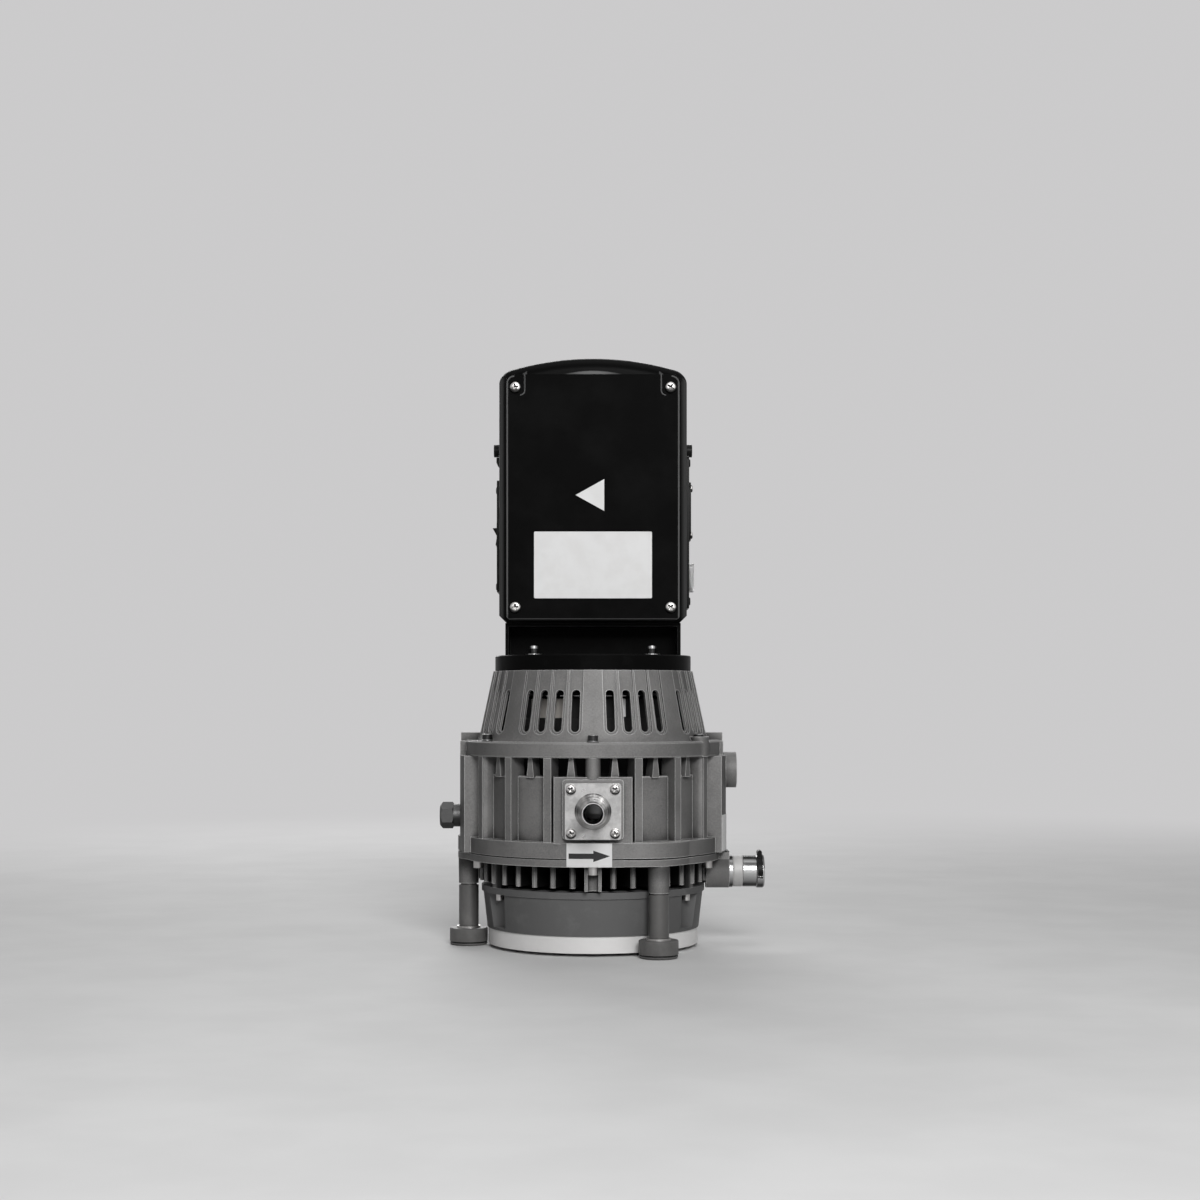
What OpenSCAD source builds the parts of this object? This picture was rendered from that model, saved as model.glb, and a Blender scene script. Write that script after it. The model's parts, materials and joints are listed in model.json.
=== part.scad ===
// Dry scroll vacuum pump standing on three rubber feet, with a control box above its motor.
// Millimetres. The pump's axis is Z, the floor is Z = 0, the inlet faces -Y and the exhaust +X.
// Angles round the axis are measured from the front (-Y) towards the right-hand side (+X).

/* [Feet and legs] */
// Diameter of each rubber foot
foot_d = 33; // [26:0.5:42]
// Height of each rubber foot
foot_h = 15; // [11:0.5:22]
// Diameter of each leg post
leg_d = 17.2; // [14:0.2:22]
// Radius of the circle that the three legs stand on
leg_circle_r = 108.4; // [108:0.2:116]
// Height of the cast leg bosses below the scroll band
leg_boss_h = 22.3; // [14:0.1:26]

/* [Base cover and its fan] */
// Gap between the floor and the base grille
floor_gap = 3; // [2:0.5:10]
// Height of the pale base grille
grille_h = 14; // [11:0.5:22]
// Radius of the base grille
grille_r = 91; // [90.5:0.1:91.8]
// Height of the base cover
base_cover_h = 36.8; // [34:0.2:50]
// Outer radius of the base cover at its lower edge
base_cover_r0 = 92; // [91.8:0.1:93]
// Outer radius of the base cover under its rim
base_cover_r1 = 95.5; // [95:0.1:96]
// Height of the rim on the base cover
base_rim_h = 5.3; // [4:0.1:7]
// How far the rim stands out from the cover's wall
base_rim_out = 1.4; // [0.6:0.1:2.2]
// Wall of the base cover
base_wall = 3; // [2.4:0.1:3.6]
// Radius of the base fan over its blades
base_fan_r = 75; // [60:0.5:77]
// Number of blades on the base fan
base_fan_blades = 7; // [5:1:9]

/* [Scroll stage] */
// Outer radius of the clamped scroll band
band_r = 110.5; // [109.5:0.1:113]
// Thickness of the fixed scroll's plate
scroll_plate_t = 6.7; // [6:0.1:10]
// Height of the cooling fins under the fixed scroll
fin_h = 18.5; // [16:0.5:24]
// Gap between the fins and the base cover
fin_gap = 3.7; // [2:0.1:6]
// Number of cooling fins
fin_count = 36; // [36:36:36]
// Thickness of a cooling fin
fin_t = 4.7; // [3:0.1:5.5]
// Radius that the cooling fins reach
fin_tip_r = 99; // [97:0.1:99.4]
// Distance between two turns of one scroll wrap
wrap_pitch = 20; // [19:0.1:20.4]
// Thickness of a scroll wrap
wrap_t = 4.6; // [4.2:0.1:5.2]
// Height of the scroll wraps
wrap_h = 35.3; // [28:0.1:45]
// Number of half turns in a scroll wrap
wrap_half_turns = 7; // [5:1:7]
// Gap that the two scrolls keep at their flanks and tips
wrap_gap = 0.4; // [0.3:0.05:0.6]
// Thickness of the orbiting scroll's plate
orbit_plate_t = 8; // [7.5:0.1:11]
// Height of the bearing hub on the orbiting scroll
hub_h = 10.6; // [10.2:0.1:16]

/* [Housing] */
// Height of the housing's lower flange
housing_flange_t = 13.3; // [10:0.1:16]
// Outer radius of the housing's wall
wall_r = 100; // [97:0.1:101.5]
// Radius of the scroll chamber
chamber_r = 92; // [91:0.1:93]
// Thickness of the web between the scroll chamber and the motor
web_t = 7.8; // [7.4:0.1:12]
// Height of the open windows under the motor cover
window_h = 15.6; // [12:0.1:20]
// Number of long ribs round the housing
rib_count = 18; // [18:18:18]
// Radius that the long ribs reach
rib_r = 109.9; // [106:0.1:110]
// Thickness of a long rib
rib_t = 6.8; // [4:0.1:7.4]
// Width of the pillars that take the cover bolts
pillar_w = 10; // [8.4:0.1:11]
// Radius of the side pads
side_pad_r = 115.8; // [113:0.1:117]
// Half width of the side pads
side_pad_y = 36; // [28:0.5:38]

/* [Inlet] */
// Side of the square inlet plate
inlet_plate_w = 46; // [44:0.5:50]
// Thickness of the inlet plate
inlet_plate_t = 5; // [4:0.1:7]
// Distance between the inlet screws
inlet_screw_pitch = 36; // [33:0.1:36.4]
// How far the inlet nozzle stands out of its plate
nozzle_len = 36; // [24:0.5:45]
// Bore of the inlet
inlet_bore_r = 7.5; // [5:0.1:8]
// Radius of the nozzle at its tip
nozzle_tip_r = 9.4; // [9.1:0.1:11]
// Radius of the nozzle at its plate
nozzle_root_r = 15; // [13.5:0.1:16]

/* [Exhaust] */
// Radius of the cast exhaust boss
exhaust_boss_r = 14.4; // [14.2:0.1:15.8]
// Distance from the pump's axis to the face of the exhaust boss
exhaust_face_x = 118; // [116.5:0.1:124]
// Bore of the exhaust coupling
exhaust_bore_r = 6.5; // [4:0.1:6.6]
// Length of the exhaust coupling's barrel and rim
coupling_len = 18.4; // [16:0.1:26]
// Radius of the coupling's barrel
coupling_r = 13.5; // [12.6:0.1:14.4]
// Travel of the coupling's latch
latch_travel = 2; // [1:0.1:2.2]

/* [Motor and its cover] */
// Height of the cover's bolted flange
cover_flange_t = 12.8; // [10:0.1:15]
// Radius of the cover's cone at its foot
cone_foot_r = 98.4; // [96:0.1:98.8]
// Radius of the cover's cone at its top
cone_top_r = 86.8; // [86:0.1:90]
// Wall of the cover's cone
cone_wall = 4; // [3.2:0.1:5]
// Width of a cooling slot through the cover
slot_w = 7; // [4:0.1:8]
// Width of the groove round a cooling slot
groove_w = 11.7; // [9.5:0.1:12]
// Height of the seat between the web and the stator
seat_h = 8.2; // [8:0.1:14]
// Outer radius of the stator
stator_r = 66; // [62:0.1:70]
// Height of the stator's core
stator_h = 40; // [36:0.5:60]
// Radius of the rotor's core
rotor_r = 37.5; // [30:0.1:40]
// Height of the end shield over the stator
shield_h = 16; // [15.5:0.1:22]
// Height of the motor fan
motor_fan_h = 14; // [8:0.5:20]
// Radius of the motor fan
motor_fan_r = 56; // [40:0.5:57]

/* [Box bracket] */
// Radius of the round plate on top of the motor cover
top_plate_r = 85.2; // [85.1:0.1:86]
// Thickness of the round plate
top_plate_t = 13.3; // [10:0.1:15]
// Width of the bracket under the control box
bracket_w = 150; // [140:1:150]
// Depth of the bracket
bracket_d = 72; // [66:1:72]
// Height of the bracket
bracket_h = 27.5; // [24:0.1:45]
// Sheet thickness of the bracket
bracket_t = 3; // [2:0.1:4]

/* [Control box] */
// Width of the control box
box_w = 160; // [156:1:190]
// Height of the control box at its crown
box_h = 226.5; // [226:0.5:260]
// Rise of the box's arched top
arch_rise = 13.2; // [11:0.1:16]
// Depth of the box without its lid
box_d = 92; // [86:1:120]
// Wall of the control box
box_wall = 4; // [3:0.1:5]
// Width of the lid
lid_w = 149.3; // [146:0.1:152]
// Height of the lid
lid_h = 209.2; // [206:0.1:212]
// Thickness of the lid
lid_t = 5; // [4:0.1:8]
// Width of the blank label on the lid
label_w = 100; // [60:1:120]
// Height of the blank label on the lid
label_h = 56.6; // [30:0.1:70]

/* [Hidden] */
$fn = 64;
// How far a cut runs past the face that it opens
over = 1;
// Gap of a sliding or seated piece, and radial clearance of a running one
slip = 0.3;
run_gap = 0.03;
seat_gap = 0.1;
label_t = 0.4;
sticker_half_angle = 9.7;
sticker_turn = 1.6;

// Levels above the floor, from the feet up
z_grille = floor_gap;
z_base = z_grille + grille_h;
z_base_top = z_base + base_cover_h;
z_fin = z_base_top + fin_gap;
z_band = z_fin + fin_h;
z_split = z_band + scroll_plate_t;
z_wall = z_split + housing_flange_t;
z_wrap_top = z_split + wrap_h;
z_orbit = z_wrap_top + wrap_gap;
z_orbit_top = z_orbit + orbit_plate_t;
z_hub_top = z_orbit_top + hub_h;
crank_gap = 0.6;
crank_disc_t = 4;
z_crank_disc = z_hub_top + crank_gap;
z_crank_top = z_crank_disc + crank_disc_t;
z_web = z_crank_top + wrap_gap;
z_window = z_web + web_t;
z_cover = z_window + window_h;
z_cone = z_cover + cover_flange_t;
z_stator = z_window + seat_h;
z_stator_top = z_stator + stator_h;
z_shield_top = z_stator_top + shield_h;
motor_fan_gap = 3;
cover_top_t = 4.2;
z_motor_fan = z_shield_top + motor_fan_gap;
z_top = z_motor_fan + motor_fan_h + motor_fan_gap + cover_top_t;
z_neck = z_top + top_plate_t;
z_box = z_neck + bracket_h;
z_crown = z_box + box_h;

// Legs and feet
leg_angles = [-90, 30, 150];
foot_washer_t = 1.5;
foot_chamfer = 0.6;
foot_lip_in = 0.3;
foot_lip_h = 2.4;
foot_lip_chamfer = 1.2;
foot_groove_h = 0.8;
foot_groove_d = 1.1;
foot_screw_r = 4;
foot_screw_head_r = 6.5;
foot_screw_head_h = 6;
foot_recess_r = 9;
foot_recess_h = 7.5;
leg_screw_len = 22;
z_leg = foot_h + foot_washer_t;
z_leg_top = z_band - leg_boss_h;
leg_spigot_r = 5;
leg_spigot_h = 8;
leg_lug_r = leg_d / 2 + 0.4;
leg_pad_r = 50;
leg_pad_out = leg_circle_r + leg_lug_r + 0.2;
leg_bevel = 0.5;
leg_joint_h = 1.3;
leg_joint_in = 1.6;

// Small screws: shank and head radii and head heights
m5_r = 2.5;
m5_head_r = 4.25;
m5_head_h = 5;
m5_washer_r = 4.9;
m5_washer_t = 1;
m5_hole_r = m5_r + 0.2;
socket_r = 2;
socket_depth = 2.2;
small_r = 1.6;
small_head_r = 3.2;
small_head_h = 2;

// Base cover, grille and fan
rim_r = base_cover_r1 + base_rim_out;
base_post_circle_r = 91.5;
base_post_angles = [-60, 60, 180];
base_post_r = 6;
base_screw_head_r = 3.1;
base_screw_head_h = 5.6;
base_screw_len = 17;
pocket_r = 17.8;
pocket_circle_r = base_post_circle_r + pocket_r - base_screw_head_r - 0.4;
pocket_wall = 2.5;
throat_r = base_fan_r + 4;
grille_t = 2.5;
grille_wall = 2.5;
grille_hub_r = 28;
grille_ring_gap = 13;
grille_slot_w = 7;
grille_spoke_w = 8;
grille_screw_angles = [0, 120, 240];
grille_post_r = 5.2;
grille_post_circle_r = base_cover_r0 - base_wall - 3.8;
grille_post_h = 13;
grille_screw_len = 20;
fan_motor_r = 22;
fan_motor_h = 18.5;
fan_shaft_r = 3;
fan_cup_gap = 1;
fan_cup_wall = 3;
fan_cup_lift = 6.5;
fan_cup_h = 24;
fan_blade_t = 2;
fan_blade_w = 26;
fan_blade_pitch = 50;

// Scroll stage
seam_h = 0.6;
seam_d = 1.2;
orbit_r = wrap_pitch / 2 - wrap_t - wrap_gap;
wrap_first_r = 12;
fin_root_r = 45;
hub_core_r = 24;
port_r = 6;
driver_boss_w = 14;
driver_groove_r = m5_head_r + 0.35;
scroll_bolt_circle_r = 103.2;
scroll_bolt_angles = [0, 72, 134, 216, 288];
scroll_bolt_len = 15;
scroll_head_h = 6.6;
orbit_plate_r = wrap_first_r + (wrap_half_turns - 1) * wrap_pitch / 2 + wrap_pitch / 4 + wrap_t / 2 + 3;
hub_r = 20;
crank_pin_r = 10;
crank_bearing_r = 14;
crank_bearing_h = 10;
crank_disc_r = 22;
weight_r = 44;
weight_drop = 9;
weight_in_r = 30;
weight_half_angle = 55;
guide_circle_r = 64;
guide_angles = [60, 180, 300];
guide_pin_r = 4;
guide_bearing_r = 8;
guide_bearing_h = 7;
guide_boss_r = 11;
guide_gap = 0.4;
guide_disc_r = orbit_r + guide_pin_r + 1.5;
guide_boss_h = guide_bearing_h + 0.2;
z_guide_low = z_orbit_top + guide_boss_h;
z_guide_disc = z_guide_low + guide_gap;
guide_disc_t = 3.4;
z_guide_up = z_guide_disc + guide_disc_t + guide_gap;
seal_groove_w = 2;
seal_groove_h = 1.6;
seal_proud = 0.15;

// Exhaust duct, boss and coupling
exhaust_y = -6;
exhaust_drop = 18.2;
exhaust_z = z_split - exhaust_drop;
duct_r = 10.2;
duct_bore_r = 7;
duct_start_x = 10;
boss_start_x = rim_r + 1;
stub_r = 10;
stub_len = 12;
plug_in_len = 8;
plug_in_r = duct_bore_r + 1.6;
exhaust_ring_t = 3;
exhaust_ring_r = 14;
collar_len = stub_len - exhaust_ring_t;
collar_r = 13.5;
coupling_x = exhaust_face_x + stub_len;
rim_len = 7.4;
rim_out = 1;
rim_x = coupling_x + coupling_len - rim_len;
latch_t = 4;
latch_slot_gap = 0.2;
latch_x = rim_x + 1.6;
latch_r = coupling_r - 0.2;
latch_low = 3.5;
latch_tab_w = 12;
latch_tab_rise = 5;

// Housing
inlet_z = z_wall + 26.1;
panel_w = 64.5;
panel_y = 107.5;
inlet_pad_w = 50;
inlet_pad_h = 49;
inlet_pad_up = 1.4;
inlet_pad_y = 110.7;
gasket_t = 0.5;
plate_y = inlet_pad_y + gasket_t;
inlet_screw_len = 12;
inlet_head_h = 3.6;
mouth_chamfer = 0.8;
rib_in_r = chamber_r + 1;
pillar_angles = [for (i = [0:5]) i * 60];
cover_bolt_circle_r = 103.5;
cover_bolt_len = cover_flange_t + 10;
tall_boss_angle = 60;
tall_boss_h = 4;
tall_boss_r = 8.6;
short_fin_r = 104;
short_fin_foot_w = 7;
short_fin_top_w = 3.4;
front_pillar_w = 12.6;
relief_panel_r = wall_r + 1.2;
relief_panel_x = 40;
relief_panel_w = 29.5;
port_boss_r = 15.5;
port_boss_x = 124.7;
port_boss_z = z_cover - 13;
port_bore_r = 9;
port_bore_depth = 14;
plug_z = z_wall + 16.7;
plug_neck_r = 10;
plug_neck_len = 5.6;
plug_head_r = 11.6;
plug_head_len = 11.8;
plug_thread_len = 10;
bearing_boss_r = 30;
main_bearing_r = 23.5;
main_bearing_h = 12;
seal_r = 17;
seal_h = 5;
journal_r = 12.5;
z_main_bearing = z_web + seal_h + 1;
seat_wall = 4;
seat_rise = 10;
seat_in_r = stator_r - 9;

// Motor
air_gap = 0.7;
winding_in_r = rotor_r + 3;
winding_out_r = seat_in_r - 1;
winding_h = 7.2;
rotor_lift = 4;
rotor_h = stator_h - 5;
rotor_seat_r = 13;
rear_journal_r = 7.5;
fan_seat_r = 6;
rear_bearing_r = 17.5;
rear_bearing_h = 11;
rear_boss_r = 22;
shield_t = 4;
shield_wall = 7;
guard_ring_r = motor_fan_r - 4;
guard_ring_t = 3;
guard_ring_gap = 0.4;
bolt_play = 0.2;
tie_bolt_circle_r = stator_r - 4;
tie_bolt_r = 2.5;
tie_head_r = 4;
tie_head_h = 2.4;
tie_count = 4;
motor_fan_hub_r = 14;
motor_fan_disc_t = 2;
motor_fan_blades = 8;
motor_fan_blade_t = 2;

// Motor cover
cone_foot_z = 5.8;
fillet_out = 2.6;
slot_start = 8.8;
slot_end = 16.2;
groove_start = 6.3;
groove_end = -6;
groove_depth = 2;
slot_step = 9;
plain_step = 45;
cover_hole_r = 42;
left_lug_x = 115.3;
right_lug_x = 113;
lug_h = 19.6;
lug_w = 22;

// Bracket and its screws
cable_hole_r = 12;
bracket_screw_x = 50.7;
bracket_screw_y = 28;
bracket_screw_r = 2;
bracket_washer_r = 7.3;
bracket_washer_t = 1.2;
bracket_head_r = 3.5;
bracket_head_h = 7;
bracket_screw_reach = 3.5;
bracket_web_y = -6;
cable_hole_y = bracket_web_y + bracket_t + cable_hole_r + 4;

// Control box
box_back_y = 48;
box_front_y = box_back_y - box_d;
box_corner_r = 13;
box_chamfer = 6;
front_step_d = 8;
front_step_in = 2.6;
lid_z = z_box + 1.5;
lid_gasket_t = 1;
lid_edge_in = 1.2;
lid_front_y = box_front_y - lid_gasket_t - lid_t;
lid_corner_r = 7;
frame_in = 13.6;
lid_screw_in_x = 8.75;
lid_screw_in_z = 11.2;
lid_screw_r = 2.2;
lid_head_r = 4.65;
lid_head_h = 3.2;
lid_screw_len = 18;
lid_post_r = 6;
lid_post_len = 14;
lid_notch_w = lid_screw_in_x + 7.9;
lid_notch_h = lid_screw_in_z + 6.5;
lid_pocket_depth = 2;
label_z = z_box + 48.7;
triangle_z = z_box + 108;
triangle_x = -2.6;
triangle_w = 24.3;
triangle_h = 27;

// Things on the sides of the box
side_x = box_w / 2;
panel_plate_t = 2.6;
side_panel_d = 60;
left_panel_z = z_box + 27;
left_panel_h = 96;
right_panel_z = z_box + 13;
right_panel_h = 131;
louvre_z = z_box + 133;
louvre_h = 11;
louvre_out = 3.6;
louvre_d = 30;
panel_x = side_x + panel_plate_t;
side_screw_gap = 7.5;
side_screw_z = right_panel_z + right_panel_h + side_screw_gap;
side_screw_r = 5.5;
side_screw_h = 6.4;
side_screw_y = 0;
panel_screw_y = 24;
panel_screw_in = 6;
panel_head_r = 3.4;
socket_z = z_box + 98.3;
socket_screw_dz = 20.3;
socket_flange_y = 28;
socket_flange_z = 51;
socket_flange_t = 2.4;
socket_body_y = 20;
socket_body_z = 27;
socket_body_depth = 21;
recess_y = 16.8;
recess_z = 24;
recess_depth = 16;
contact_pitch = 7;
contact_w = 4;
contact_t = 2;
contact_len = 11;
contact_side = 2;
breaker_z = z_box + 40.6;
breaker_bezel = 20.4;
breaker_bezel_t = 2.4;
boot_w = 24.4;
boot_wall = 1;
boot_t = 5;
breaker_body_w = 17;
breaker_body_depth = 20;
button_r = 5.5;
button_travel = 2.5;
button_bowl_r = 8;
button_bowl_depth = 3.4;
button_stem_r = 2.5;
switch_z = z_box + 77.3;
switch_flange_y = 25;
switch_flange_z = 22;
switch_flange_t = 1;
switch_body_y = 20.4;
switch_body_z = 19.6;
switch_body_depth = 18;
rocker_y = 16.4;
rocker_half_z = 7.4;
rocker_swing = 10;
rocker_depth = 3;
rocker_out = 6.5;
rocker_mid = 4;
rocker_back = 3;
rocker_pin_r = 1.5;
rocker_pin_len = 18.6;
rocker_clear_z = 8.8;
switch_cavity_depth = 9;
capacitor_r = 19;
capacitor_h = 76;
capacitor_x = -34;
capacitor_y = 14;
capacitor_z = z_box + box_wall + 18;
clamp_t = 2;
clamp_h = 16;
clamp_foot = 12;
terminal_x = 34;
terminal_gap = 42;
terminal_z = capacitor_z + capacitor_h + terminal_gap;
terminal_w = 52;
terminal_h = 22;
terminal_d = 16;
terminal_ways = 6;

// Places children at a radius and an angle from the front
module at(angle, r, z) {
    rotate([0, 0, angle]) translate([0, -r, z]) children();
}

// A ring on the pump's axis
module ring(r_out, r_in, z0, h) {
    translate([0, 0, z0]) difference() {
        cylinder(r = r_out, h = h);
        translate([0, 0, -over]) cylinder(r = r_in, h = h + 2 * over);
    }
}

// A cylinder along X from x0 to x1
module rod_x(r, x0, x1) {
    translate([x0, 0, 0]) rotate([0, 90, 0]) cylinder(r = r, h = x1 - x0);
}

// A cylinder along -Y from y0 to y1, both counted forwards
module rod_front(r, y0, y1) {
    translate([0, -y0, 0]) rotate([90, 0, 0]) cylinder(r = r, h = y1 - y0);
}

// An outline in X and Z, extruded forwards from y_back
module slab(y_back, depth) {
    translate([0, y_back, 0]) rotate([90, 0, 0]) linear_extrude(depth) children();
}

// An outline in Y and Z, extruded towards +X from x0
module side_slab(x0, depth) {
    translate([x0, 0, 0]) rotate([90, 0, 90]) linear_extrude(depth) children();
}

function arc(cx, cy, r, a0, a1, n) =
    [for (i = [0:n]) let (a = a0 + (a1 - a0) * i / n) [cx + r * cos(a), cy + r * sin(a)]];

// Rectangle with round corners, centred on cx and cy
function round_box(cx, cy, w, h, r) = concat(
    arc(cx + w / 2 - r, cy + h / 2 - r, r, 0, 90, 6),
    arc(cx - w / 2 + r, cy + h / 2 - r, r, 90, 180, 6),
    arc(cx - w / 2 + r, cy - h / 2 + r, r, 180, 270, 6),
    arc(cx + w / 2 - r, cy - h / 2 + r, r, 270, 360, 6));

// Socket head screw pointing down, its head's underside at z = 0
module socket_screw(r, head_r, head_h, len) {
    difference() {
        union() {
            cylinder(r = head_r, h = head_h);
            translate([0, 0, -len]) cylinder(r = r, h = len + over);
        }
        translate([0, 0, head_h - socket_depth]) cylinder(r = socket_r, h = socket_depth + over, $fn = 6);
    }
}

// Pan head screw pointing down, its head's underside at z = 0
module pan_screw(r, head_r, head_h, len) {
    union() {
        translate([0, 0, -len]) cylinder(r = r, h = len + over);
        rotate_extrude() polygon(concat([[0, 0]], [[head_r, 0]],
            arc(head_r - head_h * 0.7, head_h * 0.3, head_h * 0.7, 0, 90, 5), [[0, head_h]]));
    }
}

module on_legs() {
    for (a = leg_angles) at(a, leg_circle_r, 0) children();
}

module rubber_feet() color([0.27, 0.26, 0.26]) on_legs() rotate_extrude() polygon([
    [foot_screw_r + slip, foot_recess_h], [foot_recess_r, foot_recess_h], [foot_recess_r, 0],
    [foot_d / 2 - foot_lip_in - foot_lip_chamfer, 0], [foot_d / 2 - foot_lip_in, foot_lip_chamfer],
    [foot_d / 2 - foot_lip_in, foot_lip_h], [foot_d / 2 - foot_groove_d, foot_lip_h],
    [foot_d / 2 - foot_groove_d, foot_lip_h + foot_groove_h], [foot_d / 2, foot_lip_h + foot_groove_h],
    [foot_d / 2, foot_h - foot_chamfer], [foot_d / 2 - foot_chamfer, foot_h],
    [foot_screw_r + slip, foot_h]]);

module foot_fasteners() color([0.78, 0.78, 0.76]) on_legs() {
    translate([0, 0, foot_recess_h]) rotate([180, 0, 0])
        socket_screw(foot_screw_r, foot_screw_head_r, foot_screw_head_h, leg_screw_len);
    translate([0, 0, foot_h]) difference() {
        cylinder(r = leg_d / 2 + 1.6, h = foot_washer_t);
        translate([0, 0, -over]) cylinder(r = foot_screw_r + seat_gap, h = foot_washer_t + 2 * over);
    }
}

module leg_posts() color([0.33, 0.32, 0.32]) on_legs() difference() {
    union() {
        rotate_extrude() polygon([[0, z_leg], [leg_d / 2 - leg_bevel, z_leg],
            [leg_d / 2, z_leg + leg_bevel], [leg_d / 2, z_leg_top - leg_joint_h],
            [leg_d / 2 - leg_joint_in, z_leg_top - leg_joint_h],
            [leg_d / 2 - leg_joint_in, z_leg_top], [0, z_leg_top]]);
        translate([0, 0, z_leg_top - over]) cylinder(r = leg_spigot_r, h = leg_spigot_h + over);
    }
    translate([0, 0, z_leg - over])
        cylinder(r = foot_screw_r, h = leg_screw_len + foot_recess_h - z_leg + over + slip);
}

// Arc slots between the grille's spokes
module grille_slots() {
    linear_extrude(grille_t + 2 * over) difference() {
        for (r = [grille_hub_r + 4 : grille_ring_gap : base_fan_r]) difference() {
            circle(r + grille_slot_w);
            circle(r);
        }
        for (a = [0:60:120]) rotate([0, 0, a]) square([2 * grille_r, grille_spoke_w], center = true);
    }
}

module base_grille() color([0.82, 0.82, 0.81]) difference() {
    union() {
        ring(grille_r, grille_r - grille_wall, z_grille, grille_h);
        translate([0, 0, z_grille]) cylinder(r = grille_r - grille_wall / 2, h = grille_t);
        for (a = grille_screw_angles) at(a, grille_post_circle_r, z_grille) {
            cylinder(r = grille_post_r, h = grille_h);
            translate([-grille_post_r, -grille_post_r, 0]) cube([2 * grille_post_r, grille_post_r, grille_h]);
        }
    }
    translate([0, 0, z_grille - over]) grille_slots();
    for (a = grille_screw_angles) at(a, grille_post_circle_r, z_grille - over) {
        cylinder(r = small_r + seat_gap, h = grille_h + 2 * over);
        cylinder(r = small_head_r + seat_gap, h = small_head_h + over);
    }
}

module base_cover() color([0.36, 0.35, 0.35]) {
    rim_z = z_base_top - base_rim_h;
    wall_h = rim_z - z_base;
    difference() {
        union() {
            rotate_extrude() polygon([
                [base_cover_r0 - base_wall, z_base], [base_cover_r0, z_base],
                [base_cover_r1, rim_z], [rim_r, rim_z], [rim_r, z_base_top],
                [throat_r, z_base_top], [throat_r, rim_z], [base_cover_r1 - base_wall, rim_z]]);
            intersection() {
                for (a = base_post_angles) at(a, pocket_circle_r, z_base + slip) rotate([0, 0, -90])
                    cylinder(r = pocket_r + pocket_wall, h = wall_h + over);
                translate([0, 0, z_base]) cylinder(r1 = base_cover_r0 - 0.4, r2 = base_cover_r1 - 0.4,
                    h = rim_z + base_rim_h / 2 - z_base);
            }
            for (a = grille_screw_angles) at(a, grille_post_circle_r, z_base)
                cylinder(r = grille_post_r, h = grille_post_h);
        }
        for (a = base_post_angles) at(a, pocket_circle_r, z_base + pocket_wall) rotate([0, 0, -90])
            cylinder(r = pocket_r, h = wall_h - pocket_wall);
        for (a = base_post_angles) at(a, base_post_circle_r, rim_z - over)
            cylinder(r = m5_hole_r, h = base_rim_h + 2 * over);
        for (a = grille_screw_angles) at(a, grille_post_circle_r, z_base - over)
            cylinder(r = small_r, h = grille_screw_len - grille_h + small_head_h + over + slip);
    }
}

module stage_screws() color([0.8, 0.79, 0.76]) {
    for (a = scroll_bolt_angles) at(a, scroll_bolt_circle_r, z_band) rotate([180, 0, 0])
        socket_screw(m5_r, m5_head_r, scroll_head_h, scroll_bolt_len);
    for (a = base_post_angles) at(a, base_post_circle_r, z_base_top - base_rim_h) rotate([180, 0, 0])
        socket_screw(m5_r, base_screw_head_r, base_screw_head_h, base_screw_len);
    for (a = grille_screw_angles) at(a, grille_post_circle_r, z_grille + small_head_h)
        rotate([180, 0, 0]) pan_screw(small_r, small_head_r, small_head_h, grille_screw_len);
}

module base_fan_motor() color([0.2, 0.2, 0.21]) translate([0, 0, z_grille + grille_t]) difference() {
    cylinder(r = fan_motor_r, h = fan_motor_h);
    translate([0, 0, fan_motor_h / 4]) cylinder(r = fan_shaft_r + run_gap, h = fan_motor_h);
}

module base_fan() color([0.16, 0.16, 0.17]) {
    z0 = z_grille + grille_t + fan_cup_lift;
    cup_in = fan_motor_r + fan_cup_gap;
    cup_out = cup_in + fan_cup_wall;
    difference() {
        union() {
            translate([0, 0, z0]) cylinder(r = cup_out, h = fan_cup_h);
            intersection() {
                for (i = [0:base_fan_blades - 1]) rotate([0, 0, i * 360 / base_fan_blades])
                    translate([cup_out - over, 0, z0 + fan_cup_h / 2]) rotate([fan_blade_pitch, 0, 0])
                        translate([0, -fan_blade_t / 2, -fan_blade_w / 2])
                            cube([base_fan_r - cup_out + 2 * over, fan_blade_t, fan_blade_w]);
                translate([0, 0, z0]) cylinder(r = base_fan_r, h = fan_cup_h);
            }
        }
        translate([0, 0, z0 - over]) cylinder(r = cup_in, h = fan_cup_h - fan_cup_wall + over);
    }
    translate([0, 0, z_grille + grille_t + fan_motor_h / 4 + 1])
        cylinder(r = fan_shaft_r, h = fan_cup_lift + fan_cup_h - fan_motor_h / 4 - 2);
}

// Shallow round swellings of the band over the legs
module leg_pads(z, h) {
    for (a = leg_angles) at(a, leg_pad_out - leg_pad_r, z) cylinder(r = leg_pad_r, h = h);
}

// A spiral wall of half rings: two centres half a pitch apart, each half ring half a pitch wider.
module spiral(t, h) {
    step = wrap_pitch / 2;
    for (i = [0:wrap_half_turns - 1]) {
        r = wrap_first_r + i * step;
        translate([(i % 2 == 0 ? -step : step) / 2, 0, 0]) rotate([0, 0, i % 2 == 0 ? 0 : 180])
            rotate_extrude(angle = 180) translate([r - t / 2, 0]) square([t, h]);
    }
}

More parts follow.
